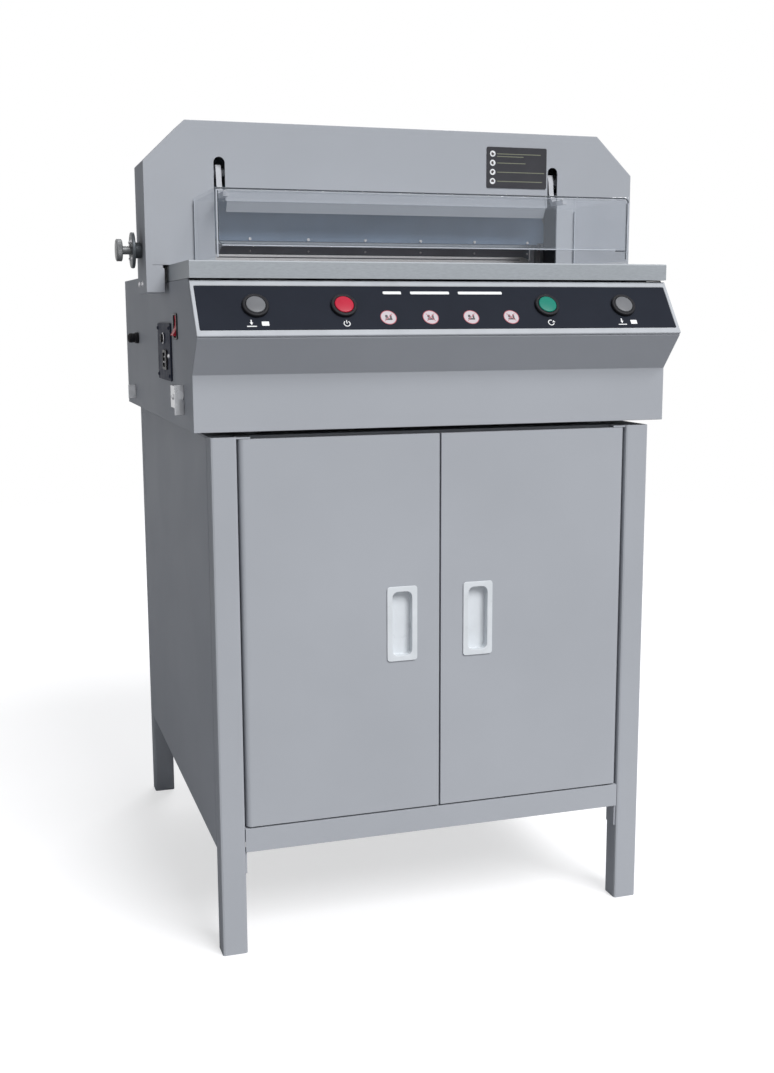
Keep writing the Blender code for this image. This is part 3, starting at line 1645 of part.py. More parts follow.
def clamp_beam(iron, axis_empty):
    """The pressing beam behind the blade, grooved in its back, with its two guide rods."""
    left = OPENING_SHIFT - upright_in + CLAMP_SIDE_CLEAR
    right = OPENING_SHIFT + upright_in - CLAMP_SIDE_CLEAR
    back = clamp_front + CLAMP_THICK
    beam = box(left, right, clamp_front, back, clamp_bottom, clamp_top)
    pitch = (right - left) / CLAMP_GROOVES
    for number in range(1, CLAMP_GROOVES):
        x = left + number * pitch
        groove = box(
            x - CLAMP_GROOVE_WIDTH / 2,
            x + CLAMP_GROOVE_WIDTH / 2,
            back - CLAMP_GROOVE_DEPTH,
            back + OVERRUN,
            clamp_bottom - OVERRUN,
            clamp_top + OVERRUN,
        )
        cut(beam, groove)
    for side in (-1, 1):
        rod = cylinder(
            "Z",
            (OPENING_SHIFT + side * CLAMP_ROD_FROM_MIDDLE, clamp_front + CLAMP_THICK / 2),
            CLAMP_ROD_RADIUS,
            clamp_top - CLAMP_HEIGHT / 2,
            tie_top + clamp_drop + CLAMP_ROD_SPARE,
            SMALL_SIDES,
        )
        join(beam, rod)
    return finish(beam, "clamp_beam", iron, (OPENING_SHIFT, clamp_front, clamp_bottom), axis_empty)


def drive_crank(steel, axis_empty):
    """The crank disc with its shaft and the pin that works the yoke."""
    disc = turned(
        [
            (crank_front, crank_radius + CRANK_RIM),
            (crank_back, crank_radius + CRANK_RIM),
            (crank_back, CRANK_SHAFT_RADIUS),
            (crank_back + CRANK_SHAFT_LENGTH, CRANK_SHAFT_RADIUS),
        ],
        "Y",
        (crank_x, crank_level),
    )
    pin = cylinder(
        "Y",
        (crank_x - crank_lean, crank_level + crank_lean),
        CRANK_PIN_RADIUS,
        rod_front - YOKE_CLEARANCE,
        crank_front + CRANK_THICK / 2,
        SMALL_SIDES,
    )
    join(disc, pin)
    return finish(disc, "drive_crank", steel, (crank_x, crank_front, crank_level), axis_empty)


def gearbox(iron, frame):
    """The worm gearbox on its foot, bored for the crank's shaft."""
    half = GEARBOX_WIDTH / 2
    back = gearbox_front + GEARBOX_DEPTH
    low = crank_level - GEARBOX_HEIGHT / 2
    casing = box(crank_x - half, crank_x + half, gearbox_front, back, low, low + GEARBOX_HEIGHT)
    bevel(casing, GEARBOX_ROUND, 2, lambda start, end: True)
    foot = base_top + FIT_GAP
    inset = GEARBOX_ROUND
    pedestal = box(
        crank_x - half + inset,
        crank_x + half - inset,
        gearbox_front + inset,
        back - inset,
        foot + GEARBOX_FOOT / 2,
        low + GEARBOX_ROUND * 2,
    )
    flange = box(
        crank_x - half,
        crank_x + GEARBOX_FOOT_WIDTH / 2,
        gearbox_front,
        back + inset,
        foot,
        foot + GEARBOX_FOOT,
    )
    join(casing, pedestal, flange)
    bore = cylinder(
        "Y",
        (crank_x, crank_level),
        CRANK_SHAFT_RADIUS + RUN_GAP,
        gearbox_front - OVERRUN,
        crank_back + CRANK_SHAFT_LENGTH + RUN_GAP,
    )
    cut(casing, bore)
    return finish(casing, "gearbox", iron, (crank_x, gearbox_front, foot), frame)


def fin_outline(centre, root, tip, count):
    """A round outline with square cooling fins."""
    points = []
    for number in range(count):
        for share, radius in ((0.0, root), (0.5, root), (0.5, tip), (1.0, tip)):
            turn = 2 * math.pi * (number + share) / count
            points.append((centre[0] + radius * math.cos(turn), centre[1] + radius * math.sin(turn)))
    return points


def drive_motor(paint, frame):
    """The motor beside the gearbox: finned body, end caps and foot."""
    start = crank_x + GEARBOX_WIDTH / 2 + FIT_GAP
    end = start + MOTOR_LENGTH
    centre = (gearbox_front + GEARBOX_DEPTH / 2, crank_level)
    root = MOTOR_RADIUS - MOTOR_FIN_HEIGHT
    body = prism(
        fin_outline(centre, root, MOTOR_RADIUS, MOTOR_FINS),
        "X",
        start + MOTOR_CAP_LENGTH / 2,
        end - MOTOR_CAP_LENGTH / 2,
    )
    step = MOTOR_FIN_HEIGHT
    near_cap = turned(
        [(start, root), (start + step, MOTOR_RADIUS), (start + MOTOR_CAP_LENGTH, MOTOR_RADIUS)],
        "X",
        centre,
    )
    far_cap = turned(
        [(end - MOTOR_CAP_LENGTH, MOTOR_RADIUS), (end - step, MOTOR_RADIUS), (end, root)],
        "X",
        centre,
    )
    foot = box(
        start + MOTOR_CAP_LENGTH * 2,
        end - MOTOR_CAP_LENGTH * 2,
        centre[0] - MOTOR_FOOT_WIDTH / 2,
        centre[0] + MOTOR_FOOT_WIDTH / 2,
        base_top + FIT_GAP,
        crank_level - root / 2,
    )
    join(body, near_cap, far_cap, foot)
    return finish(body, "drive_motor", paint, (start, centre[0], crank_level), frame)


def back_gauge(iron, axis_empty):
    """The gauge that the paper is squared against: a plate with a foot and ribs behind it."""
    foot = table_top + FIT_GAP
    back = gauge_face + GAUGE_THICK
    outline = [
        (gauge_face, foot),
        (back + GAUGE_FOOT, foot),
        (back + GAUGE_FOOT, foot + GAUGE_FOOT_THICK),
        (back, foot + GAUGE_FOOT_THICK),
        (back, foot + GAUGE_HEIGHT),
        (gauge_face, foot + GAUGE_HEIGHT),
    ]
    gauge = prism(outline, "X", OPENING_SHIFT - gauge_half, OPENING_SHIFT + gauge_half)
    pitch = 2 * gauge_half / (GAUGE_RIBS - 1 + GAUGE_RIB_THICK / GAUGE_THICK)
    for number in range(GAUGE_RIBS):
        x = OPENING_SHIFT + (number - (GAUGE_RIBS - 1) / 2) * pitch
        web = prism(
            [
                (back - GAUGE_THICK / 2, foot + GAUGE_FOOT_THICK / 2),
                (back + GAUGE_FOOT * GAUGE_RIB_SHARE, foot + GAUGE_FOOT_THICK / 2),
                (back + GAUGE_FOOT * GAUGE_RIB_SHARE, foot + GAUGE_RIB_TOE),
                (back - GAUGE_THICK / 2, foot + GAUGE_HEIGHT * GAUGE_RIB_SHARE),
            ],
            "X",
            x - GAUGE_RIB_THICK / 2,
            x + GAUGE_RIB_THICK / 2,
        )
        join(gauge, web)
    return finish(gauge, "back_gauge", iron, (OPENING_SHIFT, gauge_face, foot), axis_empty)


def gauge_strip(steel, axis_empty):
    """The bright strip along the foot of the gauge's face, its upper corners cut off."""
    left = OPENING_SHIFT - gauge_half
    right = OPENING_SHIFT + gauge_half
    foot = table_top + FIT_GAP
    top = foot + GAUGE_STRIP_HEIGHT
    outline = [
        (left, foot),
        (right, foot),
        (right, top - GAUGE_STRIP_DROP),
        (right - GAUGE_STRIP_RUN, top),
        (left + GAUGE_STRIP_RUN, top),
        (left, top - GAUGE_STRIP_DROP),
    ]
    strip = prism(outline, "Y", gauge_place, gauge_place + GAUGE_STRIP_THICK)
    return finish(strip, "gauge_strip", steel, (OPENING_SHIFT, gauge_place, foot), axis_empty)


def gauge_carriage(iron, axis_empty):
    """The nut block under the table and the neck that carries the gauge through the slot."""
    middle = gauge_face + GAUGE_THICK + GAUGE_FOOT / 2
    front = middle - CARRIAGE_LENGTH / 2
    back = middle + CARRIAGE_LENGTH / 2
    top = table_bottom - CARRIAGE_DROP
    block = box(
        OPENING_SHIFT - CARRIAGE_WIDTH / 2,
        OPENING_SHIFT + CARRIAGE_WIDTH / 2,
        front,
        back,
        top - CARRIAGE_HEIGHT,
        top,
    )
    neck_half = GAUGE_SLOT_WIDTH / 2 - RUN_GAP
    neck = box(
        OPENING_SHIFT - neck_half,
        OPENING_SHIFT + neck_half,
        front,
        back,
        top - CARRIAGE_DROP,
        table_top,
    )
    join(block, neck)
    bore = cylinder(
        "Y",
        (OPENING_SHIFT, gauge_axis_level),
        SCREW_RADIUS + RUN_GAP,
        front - OVERRUN,
        back + OVERRUN,
        SMALL_SIDES,
    )
    cut(block, bore)
    return finish(block, "gauge_carriage", iron, (OPENING_SHIFT, middle, gauge_axis_level), axis_empty)


def gauge_screw(steel, axis_empty):
    """The screw that moves the gauge, from its lug under the table to the handwheel."""
    front = screw_lug_back - SCREW_LUG_THICK
    end = wheel_end - WHEEL_STANDOFF
    screw = cylinder("Y", (OPENING_SHIFT, gauge_axis_level), SCREW_RADIUS, front, end, SMALL_SIDES)
    return finish(screw, "gauge_screw", steel, (OPENING_SHIFT, front, gauge_axis_level), axis_empty)


def gauge_handwheel(plastic, axis_empty):
    """The handwheel on the screw's rear end: hub, three spokes and a round rim."""
    centre = (OPENING_SHIFT, gauge_axis_level)
    start = BODY_DEPTH + WHEEL_STANDOFF
    middle = start + WHEEL_HUB_LENGTH / 2
    rim = torus("Y", centre, middle, WHEEL_RADIUS, WHEEL_RIM)
    half = WHEEL_SPOKE_WIDTH / 2
    for number in range(3):
        spoke = box(
            -half,
            half,
            middle - WHEEL_SPOKE_THICK / 2,
            middle + WHEEL_SPOKE_THICK / 2,
            WHEEL_HUB_RADIUS / 2,
            WHEEL_RADIUS,
        )
        turn = Matrix.Rotation(number * 2 * math.pi / 3, 4, "Y")
        spoke.data.transform(Matrix.Translation((centre[0], 0, centre[1])) @ turn)
        join(rim, spoke)
    hub = cylinder("Y", centre, WHEEL_HUB_RADIUS, start, wheel_end)
    join(rim, hub)
    bore = cylinder(
        "Y",
        centre,
        SCREW_RADIUS + FIT_GAP,
        start - OVERRUN,
        wheel_end - WHEEL_STANDOFF + FIT_GAP,
        SMALL_SIDES,
    )
    cut(rim, bore)
    return finish(rim, "gauge_handwheel", plastic, (centre[0], middle, centre[1]), axis_empty)


def guard_shield(clear, axis_empty):
    """The clear guard: front, two sides and top in one, open behind and below."""
    left = OPENING_SHIFT - GUARD_WIDTH / 2
    right = OPENING_SHIFT + GUARD_WIDTH / 2
    low = table_top + GUARD_SIDE_GAP
    shield = box(left, right, guard_front, guard_back, low, guard_top)

    def outer_front(start, end):
        at_front = max(start.y, end.y) < guard_front + FIT_GAP
        return at_front and not (start.z < low + FIT_GAP and end.z < low + FIT_GAP)

    bevel(shield, GUARD_ROUND, 2, outer_front)
    inside = box(
        left + GUARD_SHEET,
        right - GUARD_SHEET,
        guard_front + GUARD_SHEET,
        guard_back + OVERRUN,
        low - OVERRUN,
        guard_top - GUARD_SHEET,
    )
    gap_left = left + GUARD_SHEET
    gap_right = right - GUARD_SHEET
    level = table_top + GUARD_FRONT_GAP - GUARD_GAP_ROUND
    gap_outline = [(gap_left, low - OVERRUN), (gap_right, low - OVERRUN)]
    gap_outline += arc((gap_right - GUARD_GAP_ROUND, level), GUARD_GAP_ROUND, 0, 90)
    gap_outline += arc((gap_left + GUARD_GAP_ROUND, level), GUARD_GAP_ROUND, 90, 180)
    hand_gap = prism(gap_outline, "Y", guard_front - OVERRUN, guard_front + GUARD_SHEET + OVERRUN)
    cut(shield, inside, hand_gap)
    return finish(shield, "guard_shield", clear, (OPENING_SHIFT, guard_back, guard_top), axis_empty)


def guard_hinge(chrome, axis_empty):
    """The guard's shaft with its two bent arms, whose feet lie on the shield's top."""
    shaft = cylinder(
        "X",
        (pivot_y, pivot_level),
        GUARD_SHAFT_RADIUS,
        OPENING_SHIFT - upright_out,
        OPENING_SHIFT + upright_out,
        SMALL_SIDES,
    )
    foot_line = guard_top + FIT_GAP + ARM_THICK / 2
    path = [
        (pivot_y - ARM_HEAD_FORWARD, pivot_level + ARM_HEAD_RISE),
        (face_inner + ARM_INSIDE_BACK, pivot_level - ARM_THICK / 2),
        (face_inner + ARM_INSIDE_BACK - ARM_KNEE_RUN, pivot_level - ARM_KNEE_DROP),
        (guard_back - ARM_FOOT_START, foot_line),
        (guard_back - ARM_FOOT_START - ARM_FOOT_LENGTH, foot_line),
    ]
    for side in (-1, 1):
        middle = OPENING_SHIFT + side * notch_from_middle
        arm = prism(
            strip_outline(path, ARM_THICK),
            "X",
            middle - ARM_WIDTH / 2,
            middle + ARM_WIDTH / 2,
        )
        hub = cylinder(
            "X",
            (pivot_y, pivot_level),
            ARM_HUB_RADIUS,
            middle - ARM_WIDTH / 2 - FIT_GAP,
            middle + ARM_WIDTH / 2 + FIT_GAP,
            SMALL_SIDES,
        )
        join(shaft, arm, hub)
    return finish(shaft, "guard_hinge", chrome, (OPENING_SHIFT, pivot_y, pivot_level), axis_empty)


def service_plate(plastic, frame):
    """The dark plate on the left side that carries the fuse."""
    outer = -body_half - FIT_GAP
    outline = round_rectangle(
        (SERVICE_PLATE_PLACE, service_plate_level),
        SERVICE_PLATE_DEPTH,
        SERVICE_PLATE_HEIGHT,
        SERVICE_PLATE_THICK,
    )
    plate = prism(outline, "X", outer - SERVICE_PLATE_THICK, outer)
    place = (outer, SERVICE_PLATE_PLACE, service_plate_level)
    return finish(plate, "service_plate", plastic, place, frame)


def fuse_cap(plastic, frame):
    """The round cap of the fuse holder."""
    start = -body_half - 2 * FIT_GAP - SERVICE_PLATE_THICK
    cap = turned(
        [
            (start - FUSE_LENGTH, FUSE_RADIUS * FUSE_CROWN_SHARE),
            (start - FUSE_LENGTH * FUSE_BODY_SHARE, FUSE_RADIUS * FUSE_BODY_SHARE),
            (start - FUSE_LENGTH * FUSE_FLANGE_SHARE, FUSE_RADIUS * FUSE_BODY_SHARE),
            (start - FUSE_LENGTH * FUSE_FLANGE_SHARE, FUSE_RADIUS),
            (start, FUSE_RADIUS),
        ],
        "X",
        (FUSE_PLACE, fuse_level),
        SMALL_SIDES,
    )
    return finish(cap, "fuse_cap", plastic, (start, FUSE_PLACE, fuse_level), frame)


def switch_base(plastic, frame):
    """The main switch's frame and case, let through the side plate, with the rocker's pocket."""
    face = switch_seat - SWITCH_FLANGE
    outline = round_rectangle((SWITCH_PLACE, switch_level), SWITCH_WIDTH, SWITCH_HEIGHT, SWITCH_ROUND)
    base = prism(outline, "X", face, switch_seat)
    case = box(
        face + SWITCH_FLANGE / 2,
        pocket_floor + SWITCH_CASE_WALL,
        SWITCH_PLACE - SWITCH_CASE_WIDTH / 2,
        SWITCH_PLACE + SWITCH_CASE_WIDTH / 2,
        switch_level - SWITCH_CASE_HEIGHT / 2,
        switch_level + SWITCH_CASE_HEIGHT / 2,
    )
    join(base, case)
    pocket = box(
        face - OVERRUN,
        pocket_floor,
        SWITCH_PLACE - ROCKER_WIDTH / 2 - RUN_GAP,
        SWITCH_PLACE + ROCKER_WIDTH / 2 + RUN_GAP,
        switch_level - rocker_reach - ROCKER_PLAY,
        switch_level + rocker_reach + ROCKER_PLAY,
    )
    reach = ROCKER_WIDTH / 2 + ROCKER_PIN_LENGTH + RUN_GAP
    bearing = cylinder(
        "Y",
        (rocker_axis, switch_level),
        ROCKER_PIN_RADIUS + RUN_GAP,
        SWITCH_PLACE - reach,
        SWITCH_PLACE + reach,
        SMALL_SIDES,
    )
    cut(base, pocket, bearing)
    return finish(base, "switch_base", plastic, (switch_seat, SWITCH_PLACE, switch_level), frame)


def switch_rocker(plastic, axis_empty):
    """The red rocker of the main switch, its lower end standing out, with its two axle pins."""
    half = ROCKER_HEIGHT / 2
    rise = ROCKER_AXIS_DEPTH + ROCKER_END_RISE
    dish = rise - half * math.tan(rocker_lean)
    level_outline = [
        (-half, -ROCKER_BODY_DEPTH),
        (half, -ROCKER_BODY_DEPTH),
        (half, rise),
        (0, dish),
        (-half, rise),
    ]
    outline = []
    for up, out in level_outline:
        across = out * math.cos(rocker_lean) - up * math.sin(rocker_lean)
        level = up * math.cos(rocker_lean) + out * math.sin(rocker_lean)
        outline.append((rocker_axis - across, switch_level + level))
    near = SWITCH_PLACE - ROCKER_WIDTH / 2
    far = SWITCH_PLACE + ROCKER_WIDTH / 2
    rocker = prism(outline, "Y", near, far)
    pins = cylinder(
        "Y",
        (rocker_axis, switch_level),
        ROCKER_PIN_RADIUS,
        near - ROCKER_PIN_LENGTH,
        far + ROCKER_PIN_LENGTH,
        SMALL_SIDES,
    )
    join(rocker, pins)
    return finish(rocker, "switch_rocker", plastic, (rocker_axis, SWITCH_PLACE, switch_level), axis_empty)


def mains_inlet(plastic, frame):
    """The cable gland near the rear of the left side, with its open bore."""
    start = -body_half - FIT_GAP
    mouth, shoulder, nut = INLET_RADIUS_SHARES
    far, near = INLET_LENGTH_SHARES
    gland = turned(
        [
            (start - INLET_LENGTH, INLET_RADIUS * mouth),
            (start - INLET_LENGTH * far, INLET_RADIUS * shoulder),
            (start - INLET_LENGTH * near, INLET_RADIUS * nut),
            (start - INLET_LENGTH * near, INLET_RADIUS),
            (start, INLET_RADIUS),
        ],
        "X",
        (inlet_place, inlet_level),
        SMALL_SIDES,
    )
    bore = cylinder(
        "X",
        (inlet_place, inlet_level),
        INLET_BORE,
        start - INLET_LENGTH - OVERRUN,
        start - INLET_LENGTH * INLET_FLOOR_SHARE,
        SMALL_SIDES,
    )
    cut(gland, bore)
    return finish(gland, "mains_inlet", plastic, (start, inlet_place, inlet_level), frame)


def side_bracket(name, place, depth, level, height, steel, frame):
    """A bright bracket on the left side, its front end turned outwards and taller than its plate."""
    outer = -body_half - FIT_GAP
    outline = [
        (outer, place),
        (outer, place + depth),
        (outer - BRACKET_SHEET, place + depth),
        (outer - BRACKET_SHEET, place + BRACKET_SHEET),
        (outer - BRACKET_LIP, place + BRACKET_SHEET),
        (outer - BRACKET_LIP, place),
    ]
    bracket = prism(outline, "Z", level, level + height)
    for low, high in (
        (level - OVERRUN, level + BRACKET_STEP),
        (level + height - BRACKET_STEP, level + height + OVERRUN),
    ):
        step = box(
            outer - BRACKET_SHEET - OVERRUN,
            outer + OVERRUN,
            place + BRACKET_SHEET,
            place + depth + OVERRUN,
            low,
            high,
        )
        cut(bracket, step)
    return finish(bracket, name, steel, (outer, place, level), frame)


def adjuster_flange(steel, frame):
    """The steel flange that stands on a neck on the head's left side and guides the adjuster's shaft."""
    start = -head_half - FIT_GAP
    end = -head_half - flange_reach
    neck_end = end + ADJUSTER_FLANGE_THICK
    chamfer = ADJUSTER_FLANGE_CHAMFER
    flange = turned(
        [
            (end, ADJUSTER_FLANGE_RADIUS - chamfer),
            (end + chamfer, ADJUSTER_FLANGE_RADIUS),
            (neck_end - chamfer, ADJUSTER_FLANGE_RADIUS),
            (neck_end, ADJUSTER_FLANGE_RADIUS - chamfer),
            (neck_end, ADJUSTER_NECK_RADIUS),
            (start, ADJUSTER_NECK_RADIUS),
        ],
        "X",
        (adjuster_y, adjuster_level),
    )
    bore = cylinder(
        "X",
        (adjuster_y, adjuster_level),
        ADJUSTER_SHAFT_RADIUS + RUN_GAP,
        end - OVERRUN,
        start + OVERRUN,
        SMALL_SIDES,
    )
    cut(flange, bore)
    return finish(flange, "adjuster_flange", steel, (start, adjuster_y, adjuster_level), frame)


def adjuster_knob(steel, axis_empty):
    """The knurled knob, its shaft through the cover and the cam on the inner end."""
    outer = -knob_end
    inner = outer + ADJUSTER_KNOB_LENGTH
    root = ADJUSTER_KNOB_RADIUS - ADJUSTER_GRIP_DEPTH
    centre = (adjuster_y, adjuster_level)
    knob = prism(fin_outline(centre, root, ADJUSTER_KNOB_RADIUS, ADJUSTER_GRIPS), "X", outer, inner)
    cam_start = -head_half + HEAD_SHEET + ADJUSTER_CAM_GAP
    shaft = cylinder(
        "X",
        centre,
        ADJUSTER_SHAFT_RADIUS,
        inner - ADJUSTER_KNOB_LENGTH / 2,
        cam_start + ADJUSTER_CAM_LENGTH / 2,
        SMALL_SIDES,
    )
    cam = cylinder(
        "X",
        (adjuster_y, adjuster_level + ADJUSTER_CAM_OFFSET),
        ADJUSTER_CAM_RADIUS,
        cam_start,
        cam_start + ADJUSTER_CAM_LENGTH,
        SMALL_SIDES,
    )
    join(knob, shaft, cam)
    return finish(knob, "adjuster_knob", steel, (outer, adjuster_y, adjuster_level), axis_empty)


def control_box(paint, frame):
    """The closed box that holds the controls, on the base plate."""
    foot = base_top + FIT_GAP
    half_x = BOX_WIDTH / 2
    half_y = BOX_DEPTH / 2
    case = box(
        BOX_PLACE_X - half_x,
        BOX_PLACE_X + half_x,
        box_place_y - half_y,
        box_place_y + half_y,
        foot,
        foot + BOX_HEIGHT,
    )
    lid = box(
        BOX_PLACE_X - half_x - BOX_LID_OVER,
        BOX_PLACE_X + half_x + BOX_LID_OVER,
        box_place_y - half_y - BOX_LID_OVER,
        box_place_y + half_y + BOX_LID_OVER,
        foot + BOX_HEIGHT - BOX_LID,
        foot + BOX_HEIGHT + BOX_LID / 2,
    )
    join(case, lid)
    return finish(case, "control_box", paint, (BOX_PLACE_X, box_place_y, foot), frame)


def build():
    """Make every finish, every joint's empty and every piece."""
    clear_scene()
    paint = material("grey_paint", (0.40, 0.42, 0.45), 0.45)
    pale_paint = material("pale_paint", (0.62, 0.64, 0.66), 0.40)
    cover_paint = material("cover_paint", (0.40, 0.42, 0.45), 0.45)
    table_paint = material("table_paint", (0.45, 0.46, 0.48), 0.40, 0.2)
    inner_paint = material("inner_paint", (0.17, 0.18, 0.20), 0.55)
    beam_paint = material("beam_paint", (0.14, 0.17, 0.21), 0.45, 0.3)
    casting = material("casting", (0.20, 0.21, 0.22), 0.60, 0.4)
    bright = material("bright_steel", (0.62, 0.62, 0.62), 0.30, 1.0)
    blade_steel = material("blade_steel", (0.45, 0.47, 0.50), 0.25, 1.0)
    chrome = material("chrome", (0.75, 0.75, 0.76), 0.12, 1.0)
    zinc = material("zinc_plate", (0.66, 0.67, 0.68), 0.35, 0.9)
    motor_paint = material("motor_paint", (0.10, 0.12, 0.14), 0.50)
    panel_black = material("panel_black", (0.035, 0.040, 0.050), 0.35)
    black = material("black_plastic", (0.02, 0.02, 0.022), 0.45)
    slate = material("slate_plastic", (0.07, 0.075, 0.095), 0.50)
    white = material("handle_plastic", (0.66, 0.69, 0.71), 0.35)
    stick_plastic = material("stick_plastic", (0.70, 0.08, 0.06), 0.40)
    grey_button = material("grey_button", (0.17, 0.18, 0.19), 0.35)
    red_button = material("red_button", (0.70, 0.03, 0.05), 0.30)
    green_button = material("green_button", (0.02, 0.30, 0.20), 0.30)
    red_rocker = material("red_rocker", (0.60, 0.03, 0.05), 0.35)
    clear = material("clear_guard", (0.85, 0.88, 0.90), 0.08, 0.0, 0.25)

    frame = empty("machine_frame", (0, 0, 0))
    frame.location = (shift_x, shift_y, 0)

    for side in (-1, 1):
        for front in (True, False):
            leg(side, front, paint, frame)
        stand_side(side, paint, frame)
        name = "door_" + ("right" if side > 0 else "left") + "_axis"
        axis = empty(name, (side * hinge_x, hinge_y, door_bottom), frame)
        door(side, paint, axis)
        door_handle(side, white, axis)
        housing_side(side, paint, frame)
    stand_back_panel(paint, frame)
    cabinet_floor(paint, frame)
    front_rail(paint, frame)
    stand_top(paint, frame)
    door_catch(black, frame)

    housing_front(paint, frame)
    rear_panel(paint, frame)
    base_frame(casting, frame)
    panel_bezel(pale_paint, frame)
    panel_overlay(panel_black, frame)
    caps = {"cut_left": grey_button, "power": red_button, "reset": green_button, "cut_right": grey_button}
    foot = on_panel(BUTTON_UP_PANEL, 0)
    for name, x in BUTTON_PLACES.items():
        axis = empty("button_" + name + "_axis", (x, foot.x, foot.y), frame)
        button_collar(name, x, black, frame)
        button(name, x, caps[name], axis)

    worktop(table_paint, frame)
    cutting_stick(stick_plastic, frame)
    head_wrap(cover_paint, frame)
    head_front(cover_paint, frame)
    head_rear(cover_paint, frame)
    head_frame(casting, frame)

    knife_axis = empty("knife_axis", (OPENING_SHIFT, bar_front, blade_edge), frame)
    knife_beam(beam_paint, knife_axis)
    knife_blade(blade_steel, knife_axis)
    pull_rod(bright, knife_axis)
    clamp_axis = empty("clamp_axis", (OPENING_SHIFT, clamp_front, clamp_bottom), frame)
    clamp_beam(inner_paint, clamp_axis)
    crank_axis = empty("crank_axis", (crank_x, crank_front, crank_level), frame)
    drive_crank(bright, crank_axis)
    gearbox(casting, frame)
    drive_motor(motor_paint, frame)

    gauge_axis = empty("gauge_axis", (OPENING_SHIFT, gauge_place, gauge_axis_level), frame)
    back_gauge(inner_paint, gauge_axis)
    gauge_strip(bright, gauge_axis)
    gauge_carriage(casting, gauge_axis)
    screw_axis = empty("screw_axis", (OPENING_SHIFT, BODY_DEPTH, gauge_axis_level), frame)
    gauge_screw(bright, screw_axis)
    gauge_handwheel(black, screw_axis)

    guard_axis = empty("guard_axis", (OPENING_SHIFT, pivot_y, pivot_level), frame)
    guard_shield(clear, guard_axis)
    guard_hinge(chrome, guard_axis)

    service_plate(slate, frame)
    fuse_cap(black, frame)
    switch_base(black, frame)
    rocker_holder = empty("rocker_axis", (rocker_axis, SWITCH_PLACE, switch_level), frame)
    switch_rocker(red_rocker, rocker_holder)
    mains_inlet(black, frame)
    side_bracket(
        "side_bracket_front",
        FRONT_BRACKET_PLACE,
        FRONT_BRACKET_DEPTH,
        body_bottom + FRONT_BRACKET_RISE,
        FRONT_BRACKET_HEIGHT,
        zinc,
        frame,
    )
    side_bracket(
        "side_bracket_rear",
        rear_bracket_place,
        REAR_BRACKET_DEPTH,
        body_bottom + REAR_BRACKET_RISE,
        REAR_BRACKET_HEIGHT,
        zinc,
        frame,
    )
    adjuster_flange(zinc, frame)
    adjuster_axis = empty("adjuster_axis", (-head_half, adjuster_y, adjuster_level), frame)
    adjuster_knob(bright, adjuster_axis)
    control_box(inner_paint, frame)


build()
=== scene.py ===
"""Looks of the paper cutting machine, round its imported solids.

Metres, +Z up, the operator's side faces -Y. Places are given in machine coordinates, where x = 0 is the
middle of the housing, y = 0 the front of its lower band and z = 0 the floor, and at() moves them into
the frame. Large sheets keep the solids' shapes with their edges eased. Turned and moulded fittings are
finer surfaces worked out from formulas, and prints on the panel are thin raised shapes.
"""

import json
import math

import bmesh
import bpy
import numpy as np
from mathutils import Matrix, Vector


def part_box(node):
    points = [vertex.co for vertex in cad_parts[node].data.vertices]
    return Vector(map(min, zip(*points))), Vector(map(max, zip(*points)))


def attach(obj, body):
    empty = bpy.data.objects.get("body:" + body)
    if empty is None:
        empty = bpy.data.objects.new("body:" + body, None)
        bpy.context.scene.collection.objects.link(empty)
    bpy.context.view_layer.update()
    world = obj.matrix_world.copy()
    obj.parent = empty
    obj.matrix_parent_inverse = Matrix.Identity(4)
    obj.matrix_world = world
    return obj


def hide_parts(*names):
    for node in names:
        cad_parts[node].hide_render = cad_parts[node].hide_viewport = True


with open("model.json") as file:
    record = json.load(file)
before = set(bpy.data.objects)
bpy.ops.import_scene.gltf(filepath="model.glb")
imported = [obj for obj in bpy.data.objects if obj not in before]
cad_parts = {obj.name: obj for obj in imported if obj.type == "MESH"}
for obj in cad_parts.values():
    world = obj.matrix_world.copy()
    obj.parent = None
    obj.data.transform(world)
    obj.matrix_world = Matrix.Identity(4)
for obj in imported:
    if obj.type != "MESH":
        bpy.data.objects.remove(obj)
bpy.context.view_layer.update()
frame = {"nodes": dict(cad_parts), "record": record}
scene = bpy.context.scene

RIGHT = np.array([1.0, 0.0, 0.0])
LEFT = np.array([-1.0, 0.0, 0.0])
BACK = np.array([0.0, 1.0, 0.0])
FRONT = np.array([0.0, -1.0, 0.0])
UP = np.array([0.0, 0.0, 1.0])

# Shared places, in machine coordinates
NOSE_REACH = 0.043
HEAD_FACE = 0.164
HEAD_BACK = 0.251
HEAD_SIDE = 0.3495
HEAD_TOP = 1.077
BODY_SIDE = 0.320
BODY_DEPTH = 0.662
OPENING_MIDDLE = -0.012
OPENING_HALF = 0.24575
NOTCH_FROM_MIDDLE = 0.23825
GUARD_TOP = 0.978
TABLE_TOP = 0.8925
PANEL_NOSE = np.array([0.0, -NOSE_REACH, 0.803])
PANEL_END = np.array([0.0, 0.0055, 0.8695])
PANEL_UP = (PANEL_END - PANEL_NOSE) / np.linalg.norm(PANEL_END - PANEL_NOSE)
PANEL_OUT = np.cross(RIGHT, PANEL_UP)
BUTTON_LINE = 0.043
ADJUSTER = (0.2075, 0.913)
FLANGE_FACE = -HEAD_SIDE - 0.0137
PLATE_FACE = -BODY_SIDE - 0.0028
BRACKET_FACE = -BODY_SIDE - 0.0023
BEAM_FRONT = 0.209
GAUGE_FRONT = 0.2525
SCREW_LEVEL = 0.850
SHEET = 0.0015

bezel_low, bezel_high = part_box("panel_bezel")
ORIGIN = np.array([(bezel_low.x + bezel_high.x) / 2, bezel_low.y + NOSE_REACH, 0.0])


def at(x, y, z):
    """A machine place in the frame."""
    return ORIGIN + np.array([x, y, z])


